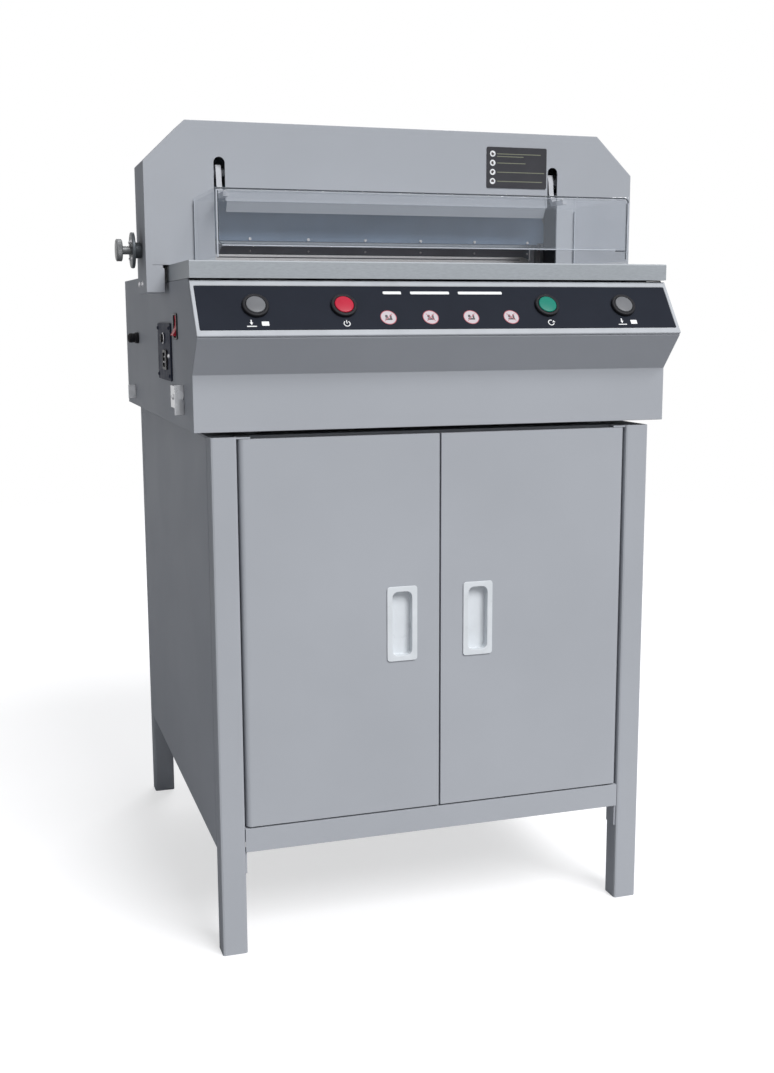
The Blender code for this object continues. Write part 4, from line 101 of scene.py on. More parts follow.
def on_panel(x, up, out=0.0):
    """A place on the leaning panel: across, up from the nose, and out of its face."""
    return ORIGIN + PANEL_NOSE + RIGHT * x + PANEL_UP * up + PANEL_OUT * out


# Materials


def link(output, socket):
    """Link an output to a socket in the tree that holds them."""
    socket.id_data.links.new(output, socket)


def feed(value, socket):
    """Link an output to a socket, or set a number or a colour there."""
    if hasattr(value, "is_linked"):
        link(value, socket)
    else:
        socket.default_value = (*value, 1) if isinstance(value, tuple) else value


def coat(shader, tone, gloss):
    """Give a finish its worked-out colour and roughness."""
    link(tone, shader.inputs["Base Color"])
    link(gloss, shader.inputs["Roughness"])


def new_finish(name, colour, roughness, metallic=0.0, specular=0.5):
    """A Principled finish, its shader and its object coordinates."""
    finish = bpy.data.materials.new(name)
    finish.use_nodes = True
    tree = finish.node_tree
    shader = tree.nodes["Principled BSDF"]
    feed(colour, shader.inputs["Base Color"])
    feed(roughness, shader.inputs["Roughness"])
    feed(metallic, shader.inputs["Metallic"])
    feed(specular, shader.inputs["Specular IOR Level"])
    return finish, shader, tree.nodes.new("ShaderNodeTexCoord").outputs["Object"]


def noise(coords, scale, detail=4.0, stretch=(1, 1, 1), rough=0.55):
    """A noise over object coordinates, stretched by a Mapping."""
    tree = coords.id_data
    mapping = tree.nodes.new("ShaderNodeMapping")
    mapping.inputs["Scale"].default_value = stretch
    link(coords, mapping.inputs["Vector"])
    texture = tree.nodes.new("ShaderNodeTexNoise")
    texture.inputs["Scale"].default_value = scale
    texture.inputs["Detail"].default_value = detail
    texture.inputs["Roughness"].default_value = rough
    link(mapping.outputs["Vector"], texture.inputs["Vector"])
    return texture.outputs["Fac"]


def spread(value, low, high, from_low=0.3, from_high=0.7):
    """Map a noise's middle range onto two limits."""
    ranged = value.id_data.nodes.new("ShaderNodeMapRange")
    limits = {"From Min": from_low, "From Max": from_high, "To Min": low, "To Max": high}
    for limit, size in limits.items():
        ranged.inputs[limit].default_value = size
    link(value, ranged.inputs["Value"])
    return ranged.outputs["Result"]


def combine(operation, first, second):
    """The sum, product or maximum of an output and another output or a number."""
    step = first.id_data.nodes.new("ShaderNodeMath")
    step.operation = operation
    link(first, step.inputs[0])
    feed(second, step.inputs[1])
    return step.outputs["Value"]


def mix_colour(factor, low, high):
    """Mix two colours or colour outputs by a factor."""
    mix = factor.id_data.nodes.new("ShaderNodeMix")
    mix.data_type = "RGBA"
    link(factor, mix.inputs["Factor"])
    feed(low, mix.inputs["A"])
    feed(high, mix.inputs["B"])
    return mix.outputs["Result"]


def bump(shader, height, depth, strength, after=None):
    """Raise the shading normal by a height, after an earlier bump if one is given."""
    step = height.id_data.nodes.new("ShaderNodeBump")
    step.inputs["Strength"].default_value = strength
    step.inputs["Distance"].default_value = depth
    link(height, step.inputs["Height"])
    if after is not None:
        link(after, step.inputs["Normal"])
    link(step.outputs["Normal"], shader.inputs["Normal"])
    return step.outputs["Normal"]


def shade(colour, factor):
    """A colour made lighter or darker."""
    return tuple(min(1.0, part * factor) for part in colour)


def powder_coat(name, colour, roughness=0.52):
    """Baked powder paint: orange-peel skin, cloudy tone, and a lighter tone where the sheet turns an edge,
    partly faint rubbing and partly a painted highlight.
    """
    finish, shader, coords = new_finish(name, colour, roughness, specular=0.02)
    cloud = spread(noise(coords, 4.0, 3.0), 0, 1)
    tone = mix_colour(cloud, shade(colour, 0.965), shade(colour, 1.03))
    speck = spread(noise(coords, 1400, 2.0), 0, 1, 0.62, 0.80)
    tone = mix_colour(spread(speck, 0, 0.10, 0, 1), tone, shade(colour, 0.72))
    tree = finish.node_tree
    eased_normal = tree.nodes.new("ShaderNodeBevel")
    eased_normal.samples = 4
    eased_normal.inputs["Radius"].default_value = 0.0012
    flat_normal = tree.nodes.new("ShaderNodeNewGeometry")
    facing = tree.nodes.new("ShaderNodeVectorMath")
    facing.operation = "DOT_PRODUCT"
    link(eased_normal.outputs["Normal"], facing.inputs[0])
    link(flat_normal.outputs["Normal"], facing.inputs[1])
    # Edges, found where the eased normal leaves the flat one, are lightened: partly rubbed paint, partly a
    # painted highlight.
    edge = spread(facing.outputs["Value"], 0.30, 0.0, 0.80, 0.985)
    tone = mix_colour(edge, tone, shade(colour, 1.25))
    sheen = spread(noise(coords, 9.0, 5.0), roughness - 0.05, roughness + 0.06)
    coat(shader, tone, sheen)
    peel = bump(shader, noise(coords, 620, 2.0), 0.00006, 0.55)
    bump(shader, noise(coords, 22, 2.0), 0.0004, 0.12, peel)
    return finish


def moulded(name, colour, roughness=0.45, grain=900, depth=0.00004, cloudiness=0.05, gloss=0.4):
    """Moulded plastic: a fine even grain, slight clouding and handling marks in its gloss."""
    finish, shader, coords = new_finish(name, colour, roughness, specular=gloss)
    cloud = spread(noise(coords, 30, 3.0), 0, 1)
    tone = mix_colour(cloud, shade(colour, 1 - cloudiness), shade(colour, 1 + cloudiness))
    marks = spread(noise(coords, 60, 5.0), roughness - 0.06, roughness + 0.08)
    coat(shader, tone, marks)
    bump(shader, noise(coords, grain, 2.0), depth, 0.6)
    return finish


def machined(name, colour, roughness, stretch, scale=220, depth=0.00003, metallic=1.0):
    """Machined metal: fine lines left by the tool, drawn along one axis, in tone, gloss and height."""
    finish, shader, coords = new_finish(name, colour, roughness, metallic, specular=0.2)
    lines = noise(coords, scale, 5.0, stretch, 0.65)
    tone = mix_colour(spread(lines, 0, 1), shade(colour, 0.88), shade(colour, 1.08))
    cloud = spread(noise(coords, 6, 3.0), 0, 0.35)
    tone = mix_colour(cloud, tone, shade(colour, 0.85))
    coat(shader, tone, spread(lines, roughness - 0.07, roughness + 0.10))
    bump(shader, lines, depth, 0.7)
    return finish


def cast(name, colour, roughness=0.6, metallic=0.3, depth=0.0004):
    """Painted casting: a sandy skin with a few broad hollows."""
    finish, shader, coords = new_finish(name, colour, roughness, metallic, specular=0.2)
    cloud = spread(noise(coords, 14, 4.0), 0, 1)
    tone = mix_colour(cloud, shade(colour, 0.85), shade(colour, 1.12))
    link(tone, shader.inputs["Base Color"])
    sand = bump(shader, noise(coords, 420, 4.0), depth, 0.35)
    bump(shader, noise(coords, 35, 2.0), depth * 2, 0.2, sand)
    return finish


def zinc(name, colour):
    """Zinc plate: cells of slightly different tone and gloss, with fine rolling lines."""
    finish, shader, coords = new_finish(name, colour, 0.34, metallic=1.0)
    tree = finish.node_tree
    cells = tree.nodes.new("ShaderNodeTexVoronoi")
    cells.inputs["Scale"].default_value = 130
    link(coords, cells.inputs["Vector"])
    patch = tree.nodes.new("ShaderNodeSeparateColor")
    link(cells.outputs["Color"], patch.inputs["Color"])
    value = patch.outputs["Red"]
    tone = mix_colour(value, shade(colour, 0.86), shade(colour, 1.08))
    coat(shader, tone, spread(value, 0.26, 0.42, 0, 1))
    bump(shader, noise(coords, 500, 3.0, (1, 1, 0.1)), 0.00003, 0.5)
    return finish


def clear_sheet(name, colour):
    """Clear acrylic: seen through face-on and glossy, with faint haze and wiping marks; at a glance its pale
    colour shows more, as a painted reflection.

    It throws almost no shadow, as clear sheet does.
    """
    finish, shader, coords = new_finish(name, colour, 0.08)
    tree = finish.node_tree
    glance = tree.nodes.new("ShaderNodeLayerWeight")
    glance.inputs["Blend"].default_value = 0.32
    haze = spread(noise(coords, 7, 4.0, (1, 1, 3)), 0.0, 0.02)
    # Seen at a glance the sheet covers more with its pale colour: a painted reflection.
    cover = spread(glance.outputs["Facing"], 0.060, 0.28, 0.0, 1.0)
    path = tree.nodes.new("ShaderNodeLightPath")
    thin = tree.nodes.new("ShaderNodeMix")
    link(path.outputs["Is Shadow Ray"], thin.inputs["Factor"])
    link(combine("ADD", haze, cover), thin.inputs["A"])
    thin.inputs["B"].default_value = 0.03
    link(thin.outputs["Result"], shader.inputs["Alpha"])
    wiping = spread(noise(coords, 40, 4.0, (1, 1, 6)), 0.05, 0.13)
    link(wiping, shader.inputs["Roughness"])
    shader.inputs["Coat Weight"].default_value = 0.6
    shader.inputs["Coat Roughness"].default_value = 0.04
    return finish


def ink(name, colour):
    """Screen-printed ink: flat colour with tiny pinholes in its tone."""
    finish, shader, coords = new_finish(name, colour, 0.5)
    pinhole = spread(noise(coords, 2200, 2.0), 0, 1, 0.55, 0.75)
    tone = mix_colour(pinhole, colour, shade(colour, 0.80))
    link(tone, shader.inputs["Base Color"])
    bump(shader, noise(coords, 1500, 2.0), 0.00001, 0.5)
    return finish


FINE = 1500
FINISHES = {
    "grey_paint": powder_coat("grey_powder_coat", (0.395, 0.412, 0.445)),
    "pale_paint": moulded("pale_panel_frame", (0.455, 0.475, 0.505), gloss=0.12),
    "table_paint": machined("ground_table", (0.355, 0.380, 0.405), 0.46, (1, 6, 6), 160, 0.00002, 0.08),
    "inner_paint": cast("clamp_iron", (0.17, 0.18, 0.20)),
    "inner_sheet": powder_coat("dark_sheet_paint", (0.16, 0.17, 0.19), 0.5),
    "beam_paint": cast("knife_beam_enamel", (0.132, 0.187, 0.268), 0.50, 0.0, 0.00004),
    "casting": cast("grey_casting", (0.20, 0.21, 0.22)),
    "bright_steel": machined("machined_steel", (0.50, 0.50, 0.51), 0.32, (1, 8, 8), depth=0.00001),
    "blade_steel": machined("ground_blade", (0.36, 0.38, 0.41), 0.34, (1, 6, 6), 260),
    "chrome": machined("polished_chrome", (0.50, 0.50, 0.52), 0.30, (1, 3, 3), 320, 0.00001),
    "zinc_plate": zinc("bright_zinc", (0.46, 0.47, 0.49)),
    "motor_paint": powder_coat("motor_enamel", (0.10, 0.12, 0.14), 0.45),
    "panel_black": moulded("panel_film", (0.019, 0.022, 0.031), 0.45, FINE, 0.00002, gloss=0.03),
    "black_plastic": moulded("black_plastic", (0.014, 0.014, 0.017), 0.42, gloss=0.12),
    "slate_plastic": moulded("slate_plastic", (0.040, 0.045, 0.066), 0.55, gloss=0.03),
    "handle_plastic": moulded("handle_plastic", (0.66, 0.69, 0.72), 0.32),
    "stick_plastic": moulded("stick_plastic", (0.62, 0.07, 0.05), 0.40),
    "red_rocker": moulded("red_rocker", (0.55, 0.022, 0.045), 0.40, FINE, 0.00001, gloss=0.08),
    "clear_guard": clear_sheet("clear_guard_sheet", (0.60, 0.655, 0.74)),
}
BUTTON_COLOURS = {"grey": (0.150, 0.154, 0.165), "red": (0.44, 0.012, 0.038), "green": (0.004, 0.190, 0.136)}
for word, colour in BUTTON_COLOURS.items():
    FINISHES[word + "_button"] = moulded(word + "_button", colour, 0.34, FINE, 0.00001, gloss=0.2)
WHITE_INK = ink("white_ink", (0.78, 0.79, 0.80))
PALE_INK = ink("pale_ink", (0.50, 0.45, 0.48))
RED_INK = ink("red_ink", (0.40, 0.08, 0.11))
DULL_INK = ink("dull_ink", (0.16, 0.17, 0.12))
DARK_INK = ink("dark_ink", (0.045, 0.035, 0.040))
PLATE_FILM = moulded("plate_film", (0.042, 0.042, 0.048), 0.45, FINE, 0.00002, 0.08, 0.15)
DULL_FLANGE = machined("dull_flange", (0.085, 0.095, 0.105), 0.42, (4, 1, 1), 220, 0.00002, 0.4)
DULL_KNOB = machined("dull_knob", (0.19, 0.195, 0.20), 0.40, (1, 3, 3), 220, 0.00002, 0.4)
# Near-black finish for the sheets that paint the shade inside the opening's sides
OPENING_SHADE_BLACK = moulded("painted_shade_black", (0.020, 0.022, 0.026), 0.6, 500, 0.00003, 0.08, 0.1)
# Finishes for rods that paint highlight and shade along the clear guard's edges
SHEET_EDGE_HIGHLIGHT = moulded("sheet_edge_painted_highlight", (0.50, 0.53, 0.58), 0.30, 400, gloss=0.1)
SHEET_EDGE_SHADE = moulded("sheet_edge_painted_shade", (0.045, 0.052, 0.062), 0.25, 400, gloss=0.1)
OWN_FINISH = {"guard_hinge": machined("satin_arm", (0.47, 0.48, 0.51), 0.55, (1, 3, 3), 320, 0.00001, 0.05)}

slot_of = {entry["node"]: entry["material_slot"] for entry in frame["record"]["subparts"]}
bodies = frame["record"]["behaviour"]["bodies"]
body_of = {member: body for body, members in bodies.items() for member in members}
for node_name, carried in frame["nodes"].items():
    for holder in carried.material_slots:
        holder.material = FINISHES[slot_of[node_name]]


# Shapes: each is its points and its faces


def circle_angles(count):
    """Angles that go evenly once round."""
    return np.linspace(0, 2 * np.pi, count, endpoint=False)


def grid_faces(rows, columns, closed=False):
    """Quads of a grid of points whose rows are rings. closed joins the last row to the first."""
    r, c = np.meshgrid(np.arange(rows if closed else rows - 1), np.arange(columns), indexing="ij")
    below, beside = (r + 1) % rows, (c + 1) % columns
    corners = [r * columns + c, r * columns + beside, below * columns + beside, below * columns + c]
    return np.stack(corners, axis=-1).reshape(-1, 4).tolist()


def tube_faces(rows, columns):
    """Faces of a tube of stacked rings, closed by a flat cap at each end."""
    last = (rows - 1) * columns
    return grid_faces(rows, columns) + [list(range(columns))[::-1], list(range(last, last + columns))]


def across(axis):
    """An axis of length 1 and two directions square to it, right-handed with it."""
    axis = np.asarray(axis, float) / np.linalg.norm(axis)
    helper = UP if abs(axis[2]) < 0.9 else RIGHT
    u = np.cross(helper, axis)
    u /= np.linalg.norm(u)
    return axis, u, np.cross(axis, u)


def lathe(profile, start, axis, sides, wobble=None, closed=False):
    """Points and faces of a turned shape: start + a*axis + r*(cos t*u + sin t*v).

    (a, r) are the profile's points, and t goes once round. wobble(a, t) is added to the radius. A closed
    profile makes a ring. Any other runs in order of growing a, and both its ends get a flat cap.
    """
    axis, u, v = across(axis)
    a, r = np.array(profile, float).T[..., None]
    t = circle_angles(sides)[None, :]
    radius = r + (wobble(a, t) if wobble else 0 * t)
    ring = np.cos(t)[..., None] * u + np.sin(t)[..., None] * v
    points = start + a[..., None] * axis + radius[..., None] * ring
    rows = len(profile)
    faces = grid_faces(rows, sides, closed=True) if closed else tube_faces(rows, sides)
    return points.reshape(-1, 3), faces


def fillet(a, r, size, turn_in, steps=5):
    """Profile points of a quarter round that ends at (a, r - size) or starts there.

    turn_in=True rounds an outer corner met while going along and then inwards.
    """
    t = np.linspace(0, np.pi / 2, steps)
    if turn_in:
        return list(zip(a - size + size * np.sin(t), r - size + size * np.cos(t)))
    return list(zip(a + size - size * np.cos(t), r - size + size * np.sin(t)))


def merge(shapes):
    """Several shapes as one."""
    points, faces, offset = [], [], 0
    for shape_points, shape_faces in shapes:
        points.append(shape_points)
        faces += [[index + offset for index in face] for face in shape_faces]
        offset += len(shape_points)
    return np.concatenate(points), faces


# Planes for flat shapes: two directions and the normal
ON_FRONT = (RIGHT, UP, FRONT)
ON_PANEL = (RIGHT, PANEL_UP, PANEL_OUT)
ON_LEFT = (FRONT, UP, LEFT)


def lay(outline, base, plane):
    """The points base + p*u + q*v for each (p, q) of an outline, with u and v from the plane."""
    p, q = np.asarray(outline, float).T[..., None]
    return base + p * plane[0] + q * plane[1]


def slab(outline, base, plane, depth):
    """A flat shape: its outline laid in the plane and carried by depth along the normal.

    The outline runs anticlockwise seen from the side that the normal points to.
    """
    low = lay(outline, base, plane)
    return np.concatenate([low, low + plane[2] * depth]), tube_faces(2, len(low))


def band(inner, outer, base, plane, depth):
    """A flat closed band between two outlines with the same number of points, carried like a slab."""
    inner, outer, rise = lay(inner, base, plane), lay(outer, base, plane), plane[2] * depth
    loops = [outer, outer + rise, inner + rise, inner]
    return np.concatenate(loops), grid_faces(len(loops), len(inner), closed=True)


def arc_points(centre, radius, start, end, steps):
    """Points on an arc, angles in degrees."""
    t = np.radians(np.linspace(start, end, steps + 1))
    return np.stack([centre[0] + radius * np.cos(t), centre[1] + radius * np.sin(t)], axis=-1)


def circle(centre, radius):
    """Points evenly round a circle."""
    count = 48
    return arc_points(centre, radius, 0, 360 - 360 / count, count - 1)


def rounded(width, height, radius, middle=(0, 0), steps=5):
    """A rectangle with round corners, anticlockwise."""
    half = np.array([width / 2 - radius, height / 2 - radius])
    corners = np.array([(1, 1), (-1, 1), (-1, -1), (1, -1)]) * half + middle
    arcs = [arc_points(corners[turn], radius, 90 * turn, 90 * turn + 90, steps) for turn in range(4)]
    return np.concatenate(arcs)


# Making pieces


def add_piece(name, mesh, finish, body, stands_for):
    """Put a mesh into the scene in one finish, on a body and in place of the named nodes."""
    mesh.materials.clear()
    mesh.materials.append(finish)
    mesh.shade_smooth()
    made = bpy.data.objects.new(name, mesh)
    scene.collection.objects.link(made)
    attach(made, body)
    if stands_for:
        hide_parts(*stands_for)
    return made


def piece(name, shape, slot, body="machine", finish=None, stands_for=(), smooth=40):
    """One new piece, in its slot's finish unless another is given. Edges past smooth degrees stay sharp."""
    points, faces = shape
    mesh = bpy.data.meshes.new(name)
    mesh.from_pydata(points, [], faces)
    outward = bmesh.new()
    outward.from_mesh(mesh)
    bmesh.ops.recalc_face_normals(outward, faces=outward.faces)
    outward.to_mesh(mesh)
    outward.free()
    add_piece(name, mesh, finish or FINISHES[slot], body, stands_for)
    mesh.set_sharp_from_angle(angle=math.radians(smooth))


def clear_bolt_heads(shape):
    """Take the plain bolt heads off the beam's front, where finer ones are set, and close the face again."""
    face_slack = 0.0002
    front = at(0, BEAM_FRONT - face_slack, 0)[1]
    heads = [vertex for vertex in shape.verts if vertex.co.y < front]
    bmesh.ops.delete(shape, geom=heads, context="VERTS")
    bmesh.ops.holes_fill(shape, edges=[edge for edge in shape.edges if edge.is_boundary], sides=0)


def narrow_arms(shape):
    """Draw the guard's two arms in to 7 mm, each about its own middle."""
    reach, share = 0.0055, 0.84
    for side in (-1, 1):
        middle = at(OPENING_MIDDLE + side * NOTCH_FROM_MIDDLE, 0, 0)[0]
        for vertex in shape.verts:
            if abs(vertex.co.x - middle) < reach:
                vertex.co.x = middle + (vertex.co.x - middle) * share


RESHAPED = {"knife_beam": clear_bolt_heads, "guard_hinge": narrow_arms}


def eased(node, width):
    """The node's own shape with its edges eased by a bevel, in place of the node."""
    shape = bmesh.new()
    shape.from_mesh(frame["nodes"][node].data)
    bmesh.ops.remove_doubles(shape, verts=shape.verts, dist=0.00001)
    if node in RESHAPED:
        RESHAPED[node](shape)
    bmesh.ops.dissolve_limit(shape, angle_limit=math.radians(1), verts=shape.verts, edges=shape.edges)
    bmesh.ops.connect_verts_concave(shape, faces=shape.faces)
    name, slot = node + "_eased", slot_of[node]
    mesh = bpy.data.meshes.new(name)
    shape.to_mesh(mesh)
    shape.free()
    made = add_piece(name, mesh, OWN_FINISH.get(node, FINISHES[slot]), body_of[node], [node])
    rounder = made.modifiers.new("rounder", "BEVEL")
    rounder.width = width
    rounder.segments = 2
    rounder.limit_method = "ANGLE"
    rounder.angle_limit = math.radians(30)
    rounder.miter_outer = "MITER_ARC"
    flatter = made.modifiers.new("flatter", "WEIGHTED_NORMAL")
    flatter.keep_sharp = True


# Sheets and castings: the solids' own shapes with soft edges

EASED = {
    "stand_side_left": 0.0006,
    "stand_side_right": 0.0006,
    "stand_back": 0.0006,
    "front_rail": 0.0007,
    "door_left": 0.0005,
    "door_right": 0.0005,
    "housing_front": 0.0008,
    "housing_side_left": 0.0008,
    "housing_side_right": 0.0008,
    "panel_bezel": 0.0011,
    "head_wrap": 0.0009,
    "head_front": 0.0006,
    "head_rear": 0.0006,
    "guard_shield": 0.0008,
    "guard_hinge": 0.0008,
    "back_gauge": 0.0005,
    "gauge_strip": 0.0004,
    "clamp_beam": 0.0006,
    "knife_beam": 0.0006,
    "service_plate": 0.0005,
    "switch_base": 0.0005,
    "side_bracket_front": 0.0004,
    "side_bracket_rear": 0.0004,
    "handle_left": 0.0006,
    "handle_right": 0.0006,
    "control_box": 0.0010,
    "gearbox": 0.0006,
}
for node_name, ease in EASED.items():
    eased(node_name, ease)


# Buttons on the panel

BUTTONS = {
    "cut_left": (-0.2445, "grey_button"),
    "power": (-0.1342, "red_button"),
    "reset": (0.1376, "green_button"),
    "cut_right": (0.2467, "grey_button"),
}


def button_cap(x):
    """A cap whose radius falls along a quarter round at the rim and whose face swells as a shallow dome."""
    radius, foot, top, edge, swell = 0.012, -0.0068, 0.0046, 0.0012, 0.0006
    share = np.linspace(1, 0.04, 9)[1:]
    dome = list(zip(top + swell * (1 - share ** 2), (radius - edge) * share))
    profile = [(foot, radius)] + fillet(top, radius, edge, True, 6) + dome
    return lathe(profile, on_panel(x, BUTTON_LINE), PANEL_OUT, 64)


def button_ring(x):
    """A collar turned from a closed section: neck, flange, round shoulders, and back down the bore."""
    outer, bore, neck, foot, seat, top = 0.0165, 0.0124, 0.0140, -0.014, -0.0002, 0.0040
    shoulder, lip = 0.0016, 0.0008
    t = np.linspace(0, np.pi / 2, 6)
    inside = list(zip(top - lip + lip * np.cos(t), bore + lip - lip * np.sin(t)))
    outside = [(foot, bore), (foot, neck), (seat, neck), (seat, outer)]
    outside += fillet(top, outer, shoulder, True, 6)
    return lathe(outside + inside, on_panel(x, BUTTON_LINE), PANEL_OUT, 64, closed=True)


for word, (x, slot) in BUTTONS.items():
    piece("cap_" + word, button_cap(x), slot, "button_" + word, stands_for=["button_" + word])
    piece("ring_" + word, button_ring(x), "black_plastic", stands_for=["collar_" + word])


# Prints on the panel: plain bars, discs and marks

PRINT_BASE = on_panel(0, 0, -0.00045)
PRINT_RISE = 0.00022
RING_RISE = PRINT_RISE * 1.4
MARK_LINE = 0.0172
MARK_WIDTH = 0.0011
MARK_REACH = 0.0038


def panel_print(name, outlines, finish, rise=PRINT_RISE):
    """Flat outlines in (across, up the panel) as one thin raised print."""
    prints = [slab(outline, PRINT_BASE, ON_PANEL, rise) for outline in outlines]
    piece(name, merge(prints), "panel_black", finish=finish)


def stroke(start, end, width):
    """A straight mark with square ends between two points."""
    start, end = np.asarray(start, float), np.asarray(end, float)
    along = (end - start) / np.linalg.norm(end - start)
    side = np.array([-along[1], along[0]]) * width / 2
    return np.array([start - side, end - side, end + side, start + side])


TITLE_LINE = 0.0635
# Width of each bar, by the place of its middle across the panel
TITLE_BARS = {-0.068: 0.024, -0.018: 0.052, 0.050: 0.060}
title = [rounded(width, 0.0042, 0.0012, (x, TITLE_LINE), 3) for x, width in TITLE_BARS.items()]
panel_print("title_bars", title, WHITE_INK)

DISC_LINE = 0.026
DISCS = [(x, DISC_LINE) for x in (-0.0795, -0.0243, 0.0299, 0.0844)]
panel_print("pale_discs", [circle(spot, 0.0098) for spot in DISCS], PALE_INK)
rings = [band(circle(spot, 0.0095), circle(spot, 0.0104), PRINT_BASE, ON_PANEL, RING_RISE) for spot in DISCS]
piece("disc_rings", merge(rings), "panel_black", finish=RED_INK)

# Blots on each disc: width, height, corner radius, and the place from the disc's middle
BLOTS = (
    (0.0092, 0.0026, 0.0010, (0, -0.0026)),
    (0.0034, 0.0046, 0.0012, (-0.0024, 0.0016)),
    (0.0024, 0.0060, 0.0010, (0.0030, 0.0012)),
)
blots = []
for width, height, radius, away in BLOTS:
    blots += [rounded(width, height, radius, np.add(spot, away), 3) for spot in DISCS]
panel_print("disc_shade_marks", blots, DARK_INK, PRINT_RISE * 1.2)
bars = []
for number, spot in enumerate(np.array(DISCS)):
    for lean in range(1 + number % 2):
        turn = math.pi * (0.25 + 0.5 * lean)
        reach = np.array([math.cos(turn), math.sin(turn)]) * 0.0078
        bars.append(stroke(spot - reach, spot + reach, 0.0008))
panel_print("disc_marks", bars, RED_INK, RING_RISE)


def arrow_down(x, up, size):
    """A filled arrow that points down the panel."""
    shape = np.array([[-0.18, 1], [-0.18, 0.1], [-0.5, 0.1], [0, -0.8], [0.5, 0.1], [0.18, 0.1], [0.18, 1]])
    return shape * size + np.array([x, up])


def open_ring(name, x, start, end):
    """Part of a flat ring round a place on the mark line, from one angle to another."""
    outer = arc_points((x, MARK_LINE), MARK_REACH + MARK_WIDTH / 2, start, end, 28)
    inner = arc_points((x, MARK_LINE), MARK_REACH - MARK_WIDTH / 2, end, start, 28)
    panel_print(name, [np.concatenate([outer, inner])], WHITE_INK)


cut_marks = []
for word in ("cut_left", "cut_right"):
    x = BUTTONS[word][0]
    cut_marks.append(arrow_down(x - 0.008, 0.0190, 0.0042))
    cut_marks.append(rounded(0.0120, 0.0014, 0.0005, (x - 0.008, 0.0138), 3))
    cut_marks.append(rounded(0.0090, 0.0062, 0.0008, (x + 0.009, 0.0176), 3))
panel_print("cut_marks", cut_marks, WHITE_INK)
power, reset = BUTTONS["power"][0], BUTTONS["reset"][0]
power_bar = stroke((power, MARK_LINE), (power, MARK_LINE + 0.0050), MARK_WIDTH)
panel_print("power_mark_bar", [power_bar], WHITE_INK)
open_ring("power_mark_ring", power, 125, 415)
open_ring("reset_mark_ring", reset, 60, 350)
tip = np.array([reset + MARK_REACH, MARK_LINE]) + [[-0.0021, 0.0005], [0.0021, 0.0005], [0.0, 0.0034]]
panel_print("reset_mark_tip", [tip], WHITE_INK)


# Plate of plain marks on the head

PLATE_MIDDLE = (0.17095, 1.02975)
PLATE_RISE = 0.0009
PRINT_LIFT = 0.0008
DOT_COLUMN = -0.0365
LINE_START = -0.030
LINE_WIDTH = 0.0011
LINE_CORNER = 0.0004
# Length of the line beside each dot, by the dot's height above the plate's middle
LINES = {0.0185: 0.066, 0.0062: 0.043, -0.0062: 0.072, -0.0185: 0.069}


def head_print(name, outlines, finish, lift, rise):
    """Flat outlines in (across, up) from the plate's middle, lifted off the head's face and raised."""
    base = at(PLATE_MIDDLE[0], HEAD_FACE - lift, PLATE_MIDDLE[1])
    prints = [slab(outline, base, ON_FRONT, rise) for outline in outlines]
    piece(name, merge(prints), "panel_black", finish=finish)


head_print("head_plate", [rounded(0.0907, 0.0555, 0.0022)], PLATE_FILM, 0.0, PLATE_RISE)
head_print("plate_dots", [circle((DOT_COLUMN, row), 0.0041) for row in LINES], WHITE_INK, PRINT_LIFT, 0.00025)
dot_marks = []
for number, row in enumerate(LINES):
    turn = np.radians(120 - 50 * number + np.linspace(0, 250, 26))
    reach = 0.0027 - 0.0009 * (np.arange(26) % 2)
    dot_marks.append(np.stack([DOT_COLUMN + reach * np.cos(turn), row + reach * np.sin(turn)], axis=-1))
head_print("plate_dot_marks", dot_marks, DARK_INK, PRINT_LIFT, 0.00040)
lines = [rounded(0.040, LINE_WIDTH, LINE_CORNER, (-0.010, 0.0150), 2)]
for row, length in LINES.items():
    lines.append(rounded(length, LINE_WIDTH, LINE_CORNER, (LINE_START + length / 2, row), 2))
head_print("plate_lines", lines, DULL_INK, PRINT_LIFT, 0.0002)


# Filled joint between the cover's band and its face


def joint_outline(inset):
    """The cover's outline in (x, z) drawn in by an inset, from the left foot over the top to the right one.

    Shoulders run 55 mm across and 53 mm down. Drawn in, their ends move by the share that keeps each side
    parallel.
    """
    run, drop, foot = 0.055, 0.053, TABLE_TOP + 0.0006
    slope = math.hypot(run, drop)
    inner_run = run + inset * (slope - run - drop) / drop
    inner_drop = drop + inset * (slope - run - drop) / run
    half, top = HEAD_SIDE - inset, HEAD_TOP - inset
    left = np.array([(-half, foot), (-half, top - inner_drop), (-half + inner_run, top)])
    return np.concatenate([left, left[::-1] * (-1, 1)])


joint = np.concatenate([joint_outline(0.0102), joint_outline(0.0081)[::-1]])
piece("cover_joint", slab(joint, at(0, HEAD_FACE + 0.0012, 0), ON_FRONT, 0.00125), "grey_paint")


# Screws


def screw_head(place, axis, radius, rise, turn):
    """A pan head with a cross recess, its height a function of radius and angle.

    The height is a dome, rise*(1 - share^2.6), less a cross-shaped groove near the middle.
    """
    sides, rings, lift, seat = 56, 14, 0.0003, 0.0002
    groove_half, groove_reach, groove_depth = 0.11, 0.58, 0.55
    axis, u, v = across(axis)
    share = np.linspace(0.06, 1, rings)[:, None]
    t = circle_angles(sides)[None, :]
    x, y = np.abs(share * np.cos(t)), np.abs(share * np.sin(t))
    recess_and_shade_bar = (np.minimum(x, y) < groove_half) & (np.maximum(x, y) < groove_reach)
    height = lift + rise * (1 - share ** 2.6 - groove_depth * recess_and_shade_bar)
    ring = np.cos(t + turn)[..., None] * u + np.sin(t + turn)[..., None] * v
    top = place + axis * height[..., None] + (radius * share)[..., None] * ring
    skirt = place + radius * ring - axis * seat
    faces = [face[::-1] for face in tube_faces(rings + 1, sides)]
    return np.concatenate([top, skirt]).reshape(-1, 3), faces


